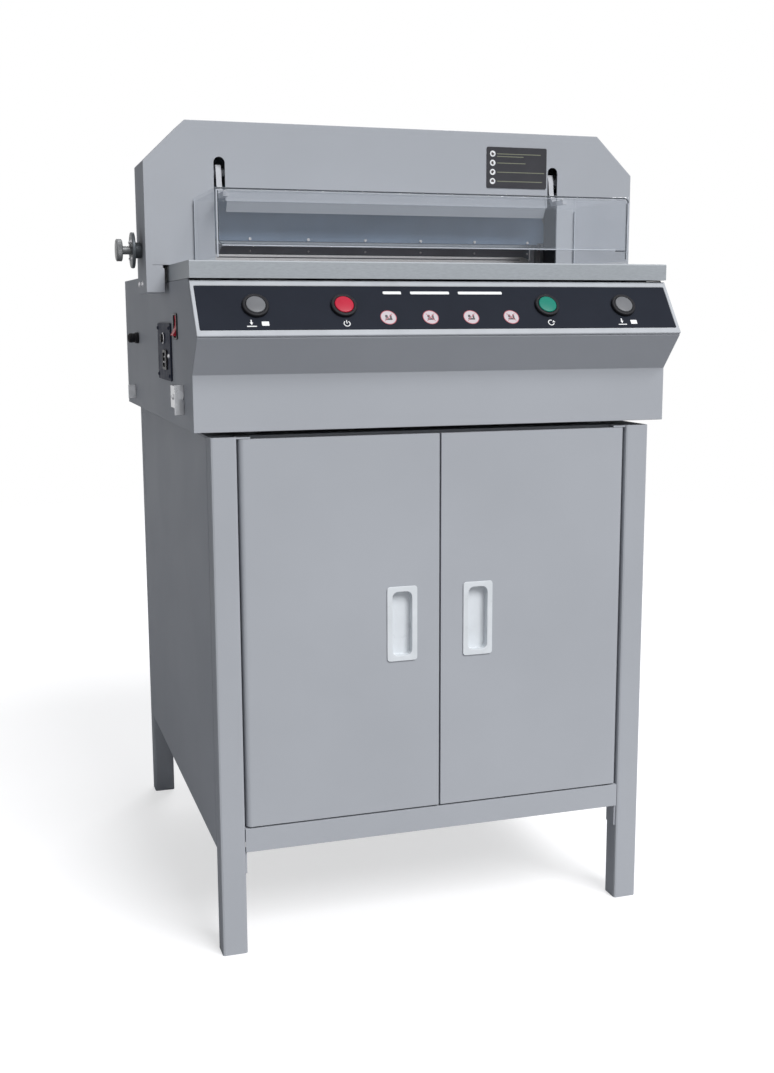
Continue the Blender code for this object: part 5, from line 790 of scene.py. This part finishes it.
def screws(name, places, axis, body="machine", radius=0.0035, rise=0.0020, slot="chrome"):
    """Screw heads at machine places as one piece, each turned further than the one before."""
    turns = 0.3 + 0.7 * np.arange(len(places))
    heads = [screw_head(at(*spot), axis, radius, rise, turn) for spot, turn in zip(places, turns)]
    piece(name, merge(heads), slot, body, smooth=50)


for side, axis, word in ((-1, LEFT, "left"), (1, RIGHT, "right")):
    screws("head_screws_" + word, [(side * HEAD_SIDE, y, 0.869) for y in (0.200, 0.232)], axis)
    x = OPENING_MIDDLE + side * NOTCH_FROM_MIDDLE
    arm_places = [(x, y, GUARD_TOP + 0.0063) for y in (0.130, 0.147)]
    screws("guard_screws_" + word, arm_places, UP, "guard", 0.0030, 0.0018)
plate_places = [(PLATE_FACE, y, z) for y in (0.1625, 0.2625) for z in (0.748, 0.811)]
screws("plate_screws", plate_places, LEFT, "machine", 0.0028, 0.0016, "slate_plastic")
screws("plate_terminal", [(PLATE_FACE, 0.1655, 0.7745)], LEFT, "machine", 0.0030, 0.0022)
screws("front_bracket_screws", [(BRACKET_FACE, y, 0.722) for y in (0.100, 0.145)], LEFT, radius=0.0040)
screws("rear_bracket_screws", [(BRACKET_FACE, y, 0.708) for y in (0.585, 0.620)], LEFT)
rear_places = [(x, BODY_DEPTH, z) for x in (-0.305, -0.10, 0.10, 0.305) for z in (0.700, 0.876)]
screws("rear_screws", rear_places, BACK)
screws("head_rear_screws", [(x, HEAD_BACK, 1.050) for x in (-0.27, -0.09, 0.09, 0.27)], BACK)


# Adjuster on the head's left side


def knurled_knob():
    """A knob whose rim radius carries two crossing sets of fine ridges, between smooth chamfers.

    Each set is the size of a sine over 30 turns round and 900 radians for each metre along.
    """
    length, radius, chamfer, ridge = 0.0080, 0.0145, 0.0010, 0.0006
    a = np.concatenate([[0, 0.0002], np.linspace(chamfer, length - chamfer, 22), [length - 0.0002, length]])
    r = np.where((a > 0.0009) & (a < length - 0.0009), radius, radius - chamfer)
    r[0] = r[-1] = radius - 0.0016

    def ridges(along, turn):
        inside = (along > 0.0011) & (along < length - 0.0011)
        one = np.abs(np.sin(30 * turn + along * 900))
        two = np.abs(np.sin(30 * turn - along * 900))
        return -ridge * inside * (1 - np.minimum(one, two))

    start = at(FLANGE_FACE - 0.0116, *ADJUSTER)
    knob = lathe(list(zip(a, r)), start, LEFT, 240, ridges)
    face_profile = [(length - 0.0008, 0.0090), (length + 0.00001, 0.0088), (length + 0.00002, 0.0040)]
    shaft = lathe([(-0.0363, 0.0055), (0.0005, 0.0055)], start, LEFT, 40)
    return merge([knob, lathe(face_profile, start, LEFT, 48), shaft])


flange_profile = (
    [(0.0, 0.0105), (0.0091, 0.0105)]
    + fillet(0.0091, 0.0235, 0.0009, False)
    + fillet(0.0134, 0.0235, 0.0009, True)
    + [(0.0134, 0.0085), (0.0126, 0.0080), (0.0126, 0.0060)]
)
flange = lathe(flange_profile, at(-HEAD_SIDE - 0.0003, *ADJUSTER), LEFT, 80)
flange_places = [(FLANGE_FACE, y, z) for y, z in arc_points(ADJUSTER, 0.0150, 45, 315, 3)]
piece("adjuster_knob_knurled", knurled_knob(), "bright_steel", "adjuster", DULL_KNOB, ["adjuster_knob"])
piece("adjuster_flange_turned", flange, "zinc_plate", finish=DULL_FLANGE, stands_for=["adjuster_flange"])
screws("flange_screws", flange_places, LEFT, radius=0.0026, rise=0.0016)


# Fittings on the left side

FUSE = at(-BODY_SIDE - 0.0031, 0.209, 0.7975)


def fuse_cap():
    """A low round cap with a coarse grip on its rim, inside its ring."""
    height, radius, base_radius = 0.0045, 0.0055, 0.0068

    def ribs(along, turn):
        inside = (along > 0.0016) & (along < 0.0040)
        return -0.0003 * inside * (np.sin(9 * turn) > 0.2)

    profile = [(0, base_radius), (0.0012, base_radius), (0.0014, 0.0056), (0.0018, 0.0056)]
    profile += fillet(height, radius, 0.0008, True) + [(height, 0.0030), (0.0040, 0.0028)]
    return lathe(profile, FUSE, LEFT, 108, ribs)


def fuse_ring():
    """A small circle swept round the cap's foot."""
    wire, reach, out, s = 0.0007, 0.0068, 0.0010, circle_angles(14)
    section = list(zip(out + wire * np.sin(s), reach + wire * np.cos(s)))
    return lathe(section, FUSE, LEFT, 64, closed=True)


def socket_frame():
    """A raised frame with a round-cornered opening, and the thin floor in it."""
    base, corner = at(PLATE_FACE, 0.1965, 0.7690), 0.003
    outer, inner = rounded(0.034, 0.026, corner), rounded(0.027, 0.019, corner)
    return merge([band(inner, outer, base, ON_LEFT, 0.0024), slab(inner, base, ON_LEFT, 0.0006)])


PIN_PROFILE = [(0, 0.0013), (0.0016, 0.0013), (0.0019, 0.0009)]
PIN_PLACES = ((0.1900, 0.766), (0.2030, 0.766), (0.1965, 0.773))
pins = [lathe(PIN_PROFILE, at(PLATE_FACE - 0.0005, y, z), LEFT, 20) for y, z in PIN_PLACES]
piece("fuse_cap_ribbed", fuse_cap(), "black_plastic", stands_for=["fuse_cap"])
piece("fuse_ring", fuse_ring(), "chrome")
piece("socket_frame", socket_frame(), "black_plastic")
piece("socket_pins", merge(pins), "chrome")


def rocker_shape():
    """The main switch's rocker: a section swept across its width, drawn in by a quarter round at both ends.

    In front the section's two halves rise from a crease in the middle to the ends, less a shallow sine dish.
    """
    half, rise, back, width, edge = 0.0128, 0.0054, 0.0035, 0.020, 0.0007
    dish, pin_reach, pin_radius = 0.0004, 0.0020, 0.0015
    lean = math.asin(0.0028 / half)
    crease = rise - half * math.tan(lean)
    share = np.linspace(1, -1, 33)
    out = crease + (rise - crease) * np.abs(share) - dish * np.sin(np.pi * np.abs(share))
    section = np.concatenate([[(-half, -back), (half, -back)], np.stack([half * share, out], axis=-1)])
    s = np.linspace(0, np.pi / 2, 5)
    left_end = -width / 2 + edge * (1 - np.cos(s))
    steps = np.concatenate([left_end, -left_end[::-1]])
    inset = edge * (1 - np.sin(np.concatenate([s, s[::-1]])))
    middle = section.mean(axis=0)
    rows = middle + (section - middle) * (1 - inset / half)[:, None, None]
    up, out = rows[..., 0], rows[..., 1]
    x = out * math.cos(lean) - up * math.sin(lean)
    z = up * math.cos(lean) + out * math.sin(lean)
    centre = at(-BODY_SIDE + 0.0022, 0.118, 0.8135)
    points = centre + np.stack([-x, steps[:, None] + 0 * x, z], axis=-1)
    pin_end = width / 2 + pin_reach
    pins = lathe([(-pin_end, pin_radius), (pin_end, pin_radius)], centre, BACK, 20)
    return merge([(points.reshape(-1, 3), tube_faces(len(steps), len(section))), pins])


gland_profile = (
    [(0, 0.0085)]
    + fillet(0.0055, 0.0085, 0.0007, True)
    + [(0.0057, 0.0071), (0.0094, 0.0070), (0.0097, 0.0075)]
    + fillet(0.0152, 0.0072, 0.0013, True)
    + [(0.0165, 0.0048), (0.0165, 0.0037), (0.0062, 0.0035)]
)
gland = lathe(gland_profile, at(-BODY_SIDE - 0.0003, 0.505, 0.794), LEFT, 60)
piece("rocker_moulded", rocker_shape(), "red_rocker", "rocker", stands_for=["switch_rocker"])
piece("gland_turned", gland, "black_plastic", stands_for=["mains_inlet"])


# Handwheel behind, and the screw that it turns


def handwheel_shape():
    """A rim (a circle swept round a circle, with 24 grips), a stepped hub and three round spokes."""
    centre = at(OPENING_MIDDLE, 0.676, SCREW_LEVEL)
    rim_radius, grip_radius, grip_swell, hub_back = 0.036, 0.005, 0.0003, 0.010
    t, s = circle_angles(96)[:, None], circle_angles(24)[None, :]
    grip = grip_radius + grip_swell * np.cos(24 * t) * (np.cos(s) > 0)
    reach = rim_radius + grip * np.cos(s)
    rim = centre + np.stack([reach * np.cos(t), grip * np.sin(s) + 0 * t, reach * np.sin(t)], axis=-1)
    hub_profile = [(0, 0.0125)] + fillet(0.0200, 0.0130, 0.0015, True)
    hub_profile += [(0.0200, 0.0082), (0.0162, 0.0080)]
    hub = lathe(hub_profile, centre + FRONT * hub_back, BACK, 64)
    taper = [(0.010, 0.0042), (0.020, 0.0034), (0.034, 0.0030)]
    outwards = [RIGHT * math.sin(turn) + UP * math.cos(turn) for turn in circle_angles(3)]
    spokes = [lathe(taper, centre, out, 24) for out in outwards]
    return merge([(rim.reshape(-1, 3), grid_faces(96, 24, closed=True)), hub] + spokes)


def screw_shape():
    """The gauge screw: radius 6.9 mm less a wave that turns once for each 4 mm along, and its plain tail."""
    length, tail_end, radius, lead, depth = 0.420, 0.443, 0.0069, 0.004, 0.0006
    start = at(OPENING_MIDDLE, 0.239, SCREW_LEVEL)

    def wave(along, turn):
        inside = (along > 0.02) & (along < 0.395)
        return -depth * inside * (0.5 + 0.5 * np.cos(turn + 2 * np.pi * along / lead))

    thread = lathe([(a, radius) for a in np.linspace(0, length, 840)], start, BACK, 20, wave)
    return merge([thread, lathe([(length, radius), (tail_end, radius)], start, BACK, 40)])


piece("handwheel_moulded", handwheel_shape(), "black_plastic", "screw", stands_for=["gauge_handwheel"])
piece("gauge_screw_thread", screw_shape(), "bright_steel", "screw", stands_for=["gauge_screw"])


# Details seen through the guard: knife bolts, the beam's lip, the gauge's strip, thin dark bars of painted
# shadow under the lip and the strip, and sheets of painted shade on the opening's sides

BOLT_PITCH = 0.082
BOLT_PLACES = [OPENING_MIDDLE + 0.015 + BOLT_PITCH * (number - 2.5) for number in range(6)]
bolt_profile = [(0, 0.0020)] + fillet(0.0022, 0.0020, 0.0005, True) + [(0.0022, 0.0011), (0.0016, 0.0010)]
bolts = [lathe(bolt_profile, at(x, BEAM_FRONT, 0.9302), FRONT, 32) for x in BOLT_PLACES]
piece("knife_bolts", merge(bolts), "chrome", "knife")


def front_bar(width, height, corner, y, z, rise):
    """A thin flat bar across the opening at y and z, raised to the front."""
    outline = rounded(width, height, corner, (OPENING_MIDDLE, z))
    return slab(outline, at(0, y, 0), ON_FRONT, rise)


lip = front_bar(0.472, 0.0062, 0.0008, BEAM_FRONT + 0.0032, 0.9299, 0.0034)
shadow = front_bar(0.470, 0.0010, 0.0004, BEAM_FRONT - 0.0002, 0.9272, 0.0002)
# A thin dark bar on the gauge's face paints the shadow gap under its strip.
recess_and_shade_bar = front_bar(0.455, 0.0016, 0.0006, GAUGE_FRONT + 0.0002, 0.9077, 0.0004)
piece("knife_beam_lip", lip, "beam_paint", "knife")
piece("knife_beam_shadow_line", shadow, "beam_paint", "knife", FINISHES["slate_plastic"])
piece("gauge_strip_painted_shade", recess_and_shade_bar, "inner_paint", "gauge")
# Spread so that each screw, seen from the photo's place, stands straight below a bolt of the beam
EYE_LEFT, SPREAD = -0.579, 0.0255
gauge_places = [(x + SPREAD * (x - EYE_LEFT), GAUGE_FRONT + 0.0023, 0.9167) for x in BOLT_PLACES]
screws("gauge_face_screws", gauge_places, FRONT, "gauge", 0.0016, 0.0009)

# Thin near-black sheets on the opening's two sides paint the shade that falls on its inturned edges.
front, back, foot, top = 0.1672, 0.2066, TABLE_TOP + 0.0008, 0.9968
shade_outline = [(front, foot), (back, foot), (back, top), (front, top)]
for side, word in ((-1, "left"), (1, "right")):
    edge = at(OPENING_MIDDLE + side * (OPENING_HALF - 0.0001), 0, 0)
    shape = slab(shade_outline, edge, (BACK, UP, -side * RIGHT), 0.0004)
    piece("opening_painted_shade_" + word, shape, "inner_paint", finish=OPENING_SHADE_BLACK)


# Folds along the upright edges of the stand's panels, which close the seams beside the legs

RAIL_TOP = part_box("front_rail")[1].z


def panel_folds(name, panel_high, folds):
    """Upright folds as one piece: each reaches in from its corner, and its ends are cut at 45 degrees."""
    depth, thick, low, high = 0.0135, 0.0012, RAIL_TOP + 0.001, panel_high.z - 2 * SHEET
    outline = [(0, low), (depth, low + depth), (depth, high - depth), (0, high)]
    shapes = [slab(outline, (x, y, 0), (reach, UP, normal), thick) for x, y, reach, normal in folds]
    piece(name, merge(shapes), "grey_paint")


back_low, back_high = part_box("stand_back")
y = back_high.y - SHEET
panel_folds("back_panel_folds", back_high, [(back_low.x, y, FRONT, RIGHT), (back_high.x, y, FRONT, LEFT)])
for word, inwards in (("left", RIGHT), ("right", LEFT)):
    side_low, side_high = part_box("stand_side_" + word)
    x = (side_low.x if word == "left" else side_high.x) + inwards[0] * SHEET
    ends = [(x, side_low.y, inwards, BACK), (x, side_high.y, inwards, FRONT)]
    panel_folds("side_panel_folds_" + word, side_high, ends)


# Edges of the clear guard: rods painted as highlights where the sheet gathers light and as shade where it
# looks dark


def rod(path, radius):
    """A round rod along a path: each ring is square to the mean of its two legs.

    Ring points are centre + radius*(cos t*u + sin t*v), with u square to a direction that no run takes.
    """
    sides, path = 10, np.array(path)
    along = np.gradient(path, axis=0)
    along /= np.linalg.norm(along, axis=1, keepdims=True)
    no_run = np.array([0.3, 0.9, 0.3])
    u = np.cross(no_run, along)
    u /= np.linalg.norm(u, axis=1, keepdims=True)
    v = np.cross(along, u)
    t = circle_angles(sides)[None, :, None]
    points = path[:, None, :] + radius * (np.cos(t) * u[:, None, :] + np.sin(t) * v[:, None, :])
    return points.reshape(-1, 3), tube_faces(len(path), sides)


def guard_edges(name, runs, finish):
    """Rods along runs of machine places, each with its own radius, as one piece on the guard."""
    rods = [rod([at(*spot) for spot in run], radius) for run, radius in runs]
    piece(name, merge(rods), "clear_guard", "guard", finish)


def upright(x, y, low, high):
    """A vertical run between two levels."""
    return [(x, y, low), (x, y, high)]


def level_run(start, end, y, z):
    """A level run across the guard."""
    return [(start, y, z), (end, y, z)]


LINE_CHANGE = OPENING_MIDDLE + OPENING_HALF + 0.010
GUARD_LEFT, GUARD_RIGHT = OPENING_MIDDLE - 0.27425, OPENING_MIDDLE + 0.27425
GUARD_FRONT, GUARD_BACK = 0.0002, 0.1632
FRONT_LINE = GUARD_FRONT + 0.0012
GUARD_FOOT, GUARD_GAP = 0.8965, 0.9090
CORNER = 0.0074
BEND_RADIUS = 0.0060

corner = arc_points((GUARD_RIGHT - CORNER, GUARD_TOP - CORNER), BEND_RADIUS, 90, 0, 8)
front_top = [(GUARD_LEFT + 0.0016, GUARD_FRONT + 0.0013, GUARD_TOP - 0.0014)]
front_top += [(x, GUARD_FRONT + 0.0013, z) for x, z in corner]
bend = arc_points((GUARD_LEFT + 0.0092, GUARD_GAP + 0.0086), BEND_RADIUS, 180, 270, 6)
inner_edge = [(GUARD_LEFT + 0.0032, GUARD_FRONT + 0.0034, GUARD_TOP - 0.0040)]
inner_edge += [(x, GUARD_FRONT + 0.0034, z) for x, z in bend]
down = np.linspace(0, 1, 24)
waver = GUARD_RIGHT - 0.0014 + 0.0005 * np.sin(down * 9.0)
levels = GUARD_TOP - CORNER - (GUARD_TOP - GUARD_GAP - CORNER) * down
front_right = [(x, FRONT_LINE, z) for x, z in zip(waver, levels)]

# Rods of painted shade along the sheet's edges
shade_runs = [
    (front_top, 0.0009),
    (inner_edge, 0.0006),
    (upright(GUARD_RIGHT - 0.0034, FRONT_LINE, GUARD_FOOT + 0.002, GUARD_TOP - 0.0080), 0.0006),
    (level_run(LINE_CHANGE, GUARD_RIGHT - 0.0040, FRONT_LINE, GUARD_GAP + 0.0002), 0.0008),
    (upright(GUARD_RIGHT - 0.0026, GUARD_BACK - 0.0016, GUARD_FOOT + 0.002, GUARD_TOP - 0.006), 0.0003),
    (upright(GUARD_LEFT + 0.0006, GUARD_BACK - 0.0024, GUARD_FOOT + 0.002, GUARD_TOP - 0.004), 0.0003),
]
# Rods of painted highlight along the sheet's edges
highlight_runs = [
    (upright(GUARD_LEFT + 0.0012, FRONT_LINE, GUARD_FOOT, GUARD_TOP - 0.0026), 0.0010),
    (upright(GUARD_LEFT + 0.0012, GUARD_BACK - 0.0010, GUARD_FOOT + 0.001, GUARD_TOP - 0.0020), 0.0007),
    (upright(GUARD_RIGHT - 0.0012, GUARD_BACK - 0.0010, GUARD_FOOT + 0.001, GUARD_TOP - 0.0060), 0.0008),
    (front_right, 0.0012),
    (level_run(GUARD_LEFT + 0.0070, LINE_CHANGE, FRONT_LINE, GUARD_GAP + 0.0012), 0.0007),
    (level_run(GUARD_LEFT + 0.0020, GUARD_RIGHT - 0.0080, GUARD_FRONT + 0.0022, GUARD_TOP - 0.0036), 0.0004),
]
guard_edges("guard_edges_painted_shade", shade_runs, SHEET_EDGE_SHADE)
guard_edges("guard_edges_painted_highlight", highlight_runs, SHEET_EDGE_HIGHLIGHT)


# Camera, fitted to the straight edges in the photo

SENSOR = 36
PHOTO_HEIGHT = 1073
FOCAL_PIXELS = 1310.9
TURN = math.radians(17.63)
TILT = math.radians(-9.46)
ROLL = math.radians(-0.214)
EYE = at(-0.5791, -1.5898, 0.8231)
forward = Vector((math.sin(TURN) * math.cos(TILT), math.cos(TURN) * math.cos(TILT), math.sin(TILT)))
level = Vector((math.cos(TURN), -math.sin(TURN), 0))
upward = level.cross(forward)
rightward = level * math.cos(ROLL) + upward * math.sin(ROLL)
above = upward * math.cos(ROLL) - level * math.sin(ROLL)

camera_data = bpy.data.cameras.new("photo_camera")
camera_data.sensor_width = SENSOR
camera_data.lens = FOCAL_PIXELS * SENSOR / PHOTO_HEIGHT
camera_data.clip_end = 50
camera = bpy.data.objects.new("photo_camera", camera_data)
scene.collection.objects.link(camera)
camera.matrix_world = Matrix.Translation(EYE) @ Matrix((rightward, above, -forward)).transposed().to_4x4()
scene.camera = camera
scene.view_settings.view_transform = "Standard"


# Floor, light and backdrop


def floor_disc():
    """A disc whose paint thins out with distance, so that it melts into the backdrop."""
    sides, drop, glow = 96, 0.0002, 0.62
    radius = np.array([0.02, 0.5, 1.0, 2.0, 3.0, 4.5])[:, None]
    t = circle_angles(sides)[None, :]
    points = np.stack([radius * np.cos(t), radius * np.sin(t), -drop + 0 * radius * t], axis=-1)
    mesh = bpy.data.meshes.new("studio_floor")
    faces = grid_faces(len(radius), sides) + [list(range(sides))[::-1]]
    mesh.from_pydata(points.reshape(-1, 3), [], faces)
    finish, shader, coords = new_finish("studio_floor", (0.48, 0.48, 0.49), 0.8, specular=0.1)
    shader.inputs["Emission Color"].default_value = (1, 1, 1, 1)
    tree = finish.node_tree
    seen = tree.nodes.new("ShaderNodeLightPath").outputs["Is Camera Ray"]
    link(combine("MULTIPLY", seen, glow), shader.inputs["Emission Strength"])
    away = tree.nodes.new("ShaderNodeVectorMath")
    away.operation = "LENGTH"
    link(coords, away.inputs[0])
    fade = spread(away.outputs["Value"], 1.0, 0.0, 1.3, 4.2)
    link(fade, shader.inputs["Alpha"])
    mesh.materials.append(finish)
    disc = bpy.data.objects.new("studio_floor", mesh)
    scene.collection.objects.link(disc)


def soft_light(name, place, aim, size, power):
    """One rectangular soft light that faces a point."""
    data = bpy.data.lights.new(name, "AREA")
    data.shape = "RECTANGLE"
    data.size, data.size_y = size
    data.energy = power
    lamp = bpy.data.objects.new(name, data)
    scene.collection.objects.link(lamp)
    lamp.location = place
    lamp.rotation_euler = (Vector(aim) - Vector(place)).to_track_quat("-Z", "Y").to_euler()


floor_disc()
middle = (0, 0, 0.6)
soft_light("key_light", (4.0, -11.2, 11.8), middle, (8.0, 8.0), 2760)
soft_light("front_fill", (-0.9, -6.0, 1.6), middle, (3.0, 2.0), 22)
soft_light("top_light", (0.6, 0.4, 3.8), (0.2, 0.2, 0.8), (1.6, 2.0), 15)
soft_light("rear_light", (2.6, 6.6, 5.0), middle, (4.0, 4.0), 300)
soft_light("side_fill", (-3.4, -1.2, 0.5), (0, 0, 0.4), (2.0, 1.0), 2)

world = bpy.data.worlds.new("studio")
scene.world = world
world.use_nodes = True
sky = world.node_tree
ambient, backdrop = sky.nodes["Background"], sky.nodes.new("ShaderNodeBackground")
for light, colour, strength in ((ambient, (0.88, 0.93, 1.0), 0.16), (backdrop, (1.0, 1.0, 1.0), 1.0)):
    feed(colour, light.inputs["Color"])
    feed(strength, light.inputs["Strength"])
path = sky.nodes.new("ShaderNodeLightPath")
seen = combine("MAXIMUM", path.outputs["Is Camera Ray"], path.outputs["Is Transmission Ray"])
mirrored = combine("MAXIMUM", seen, path.outputs["Is Glossy Ray"])
blend = sky.nodes.new("ShaderNodeMixShader")
link(mirrored, blend.inputs["Fac"])
link(ambient.outputs["Background"], blend.inputs[1])
link(backdrop.outputs["Background"], blend.inputs[2])
link(blend.outputs["Shader"], sky.nodes["World Output"].inputs["Surface"])
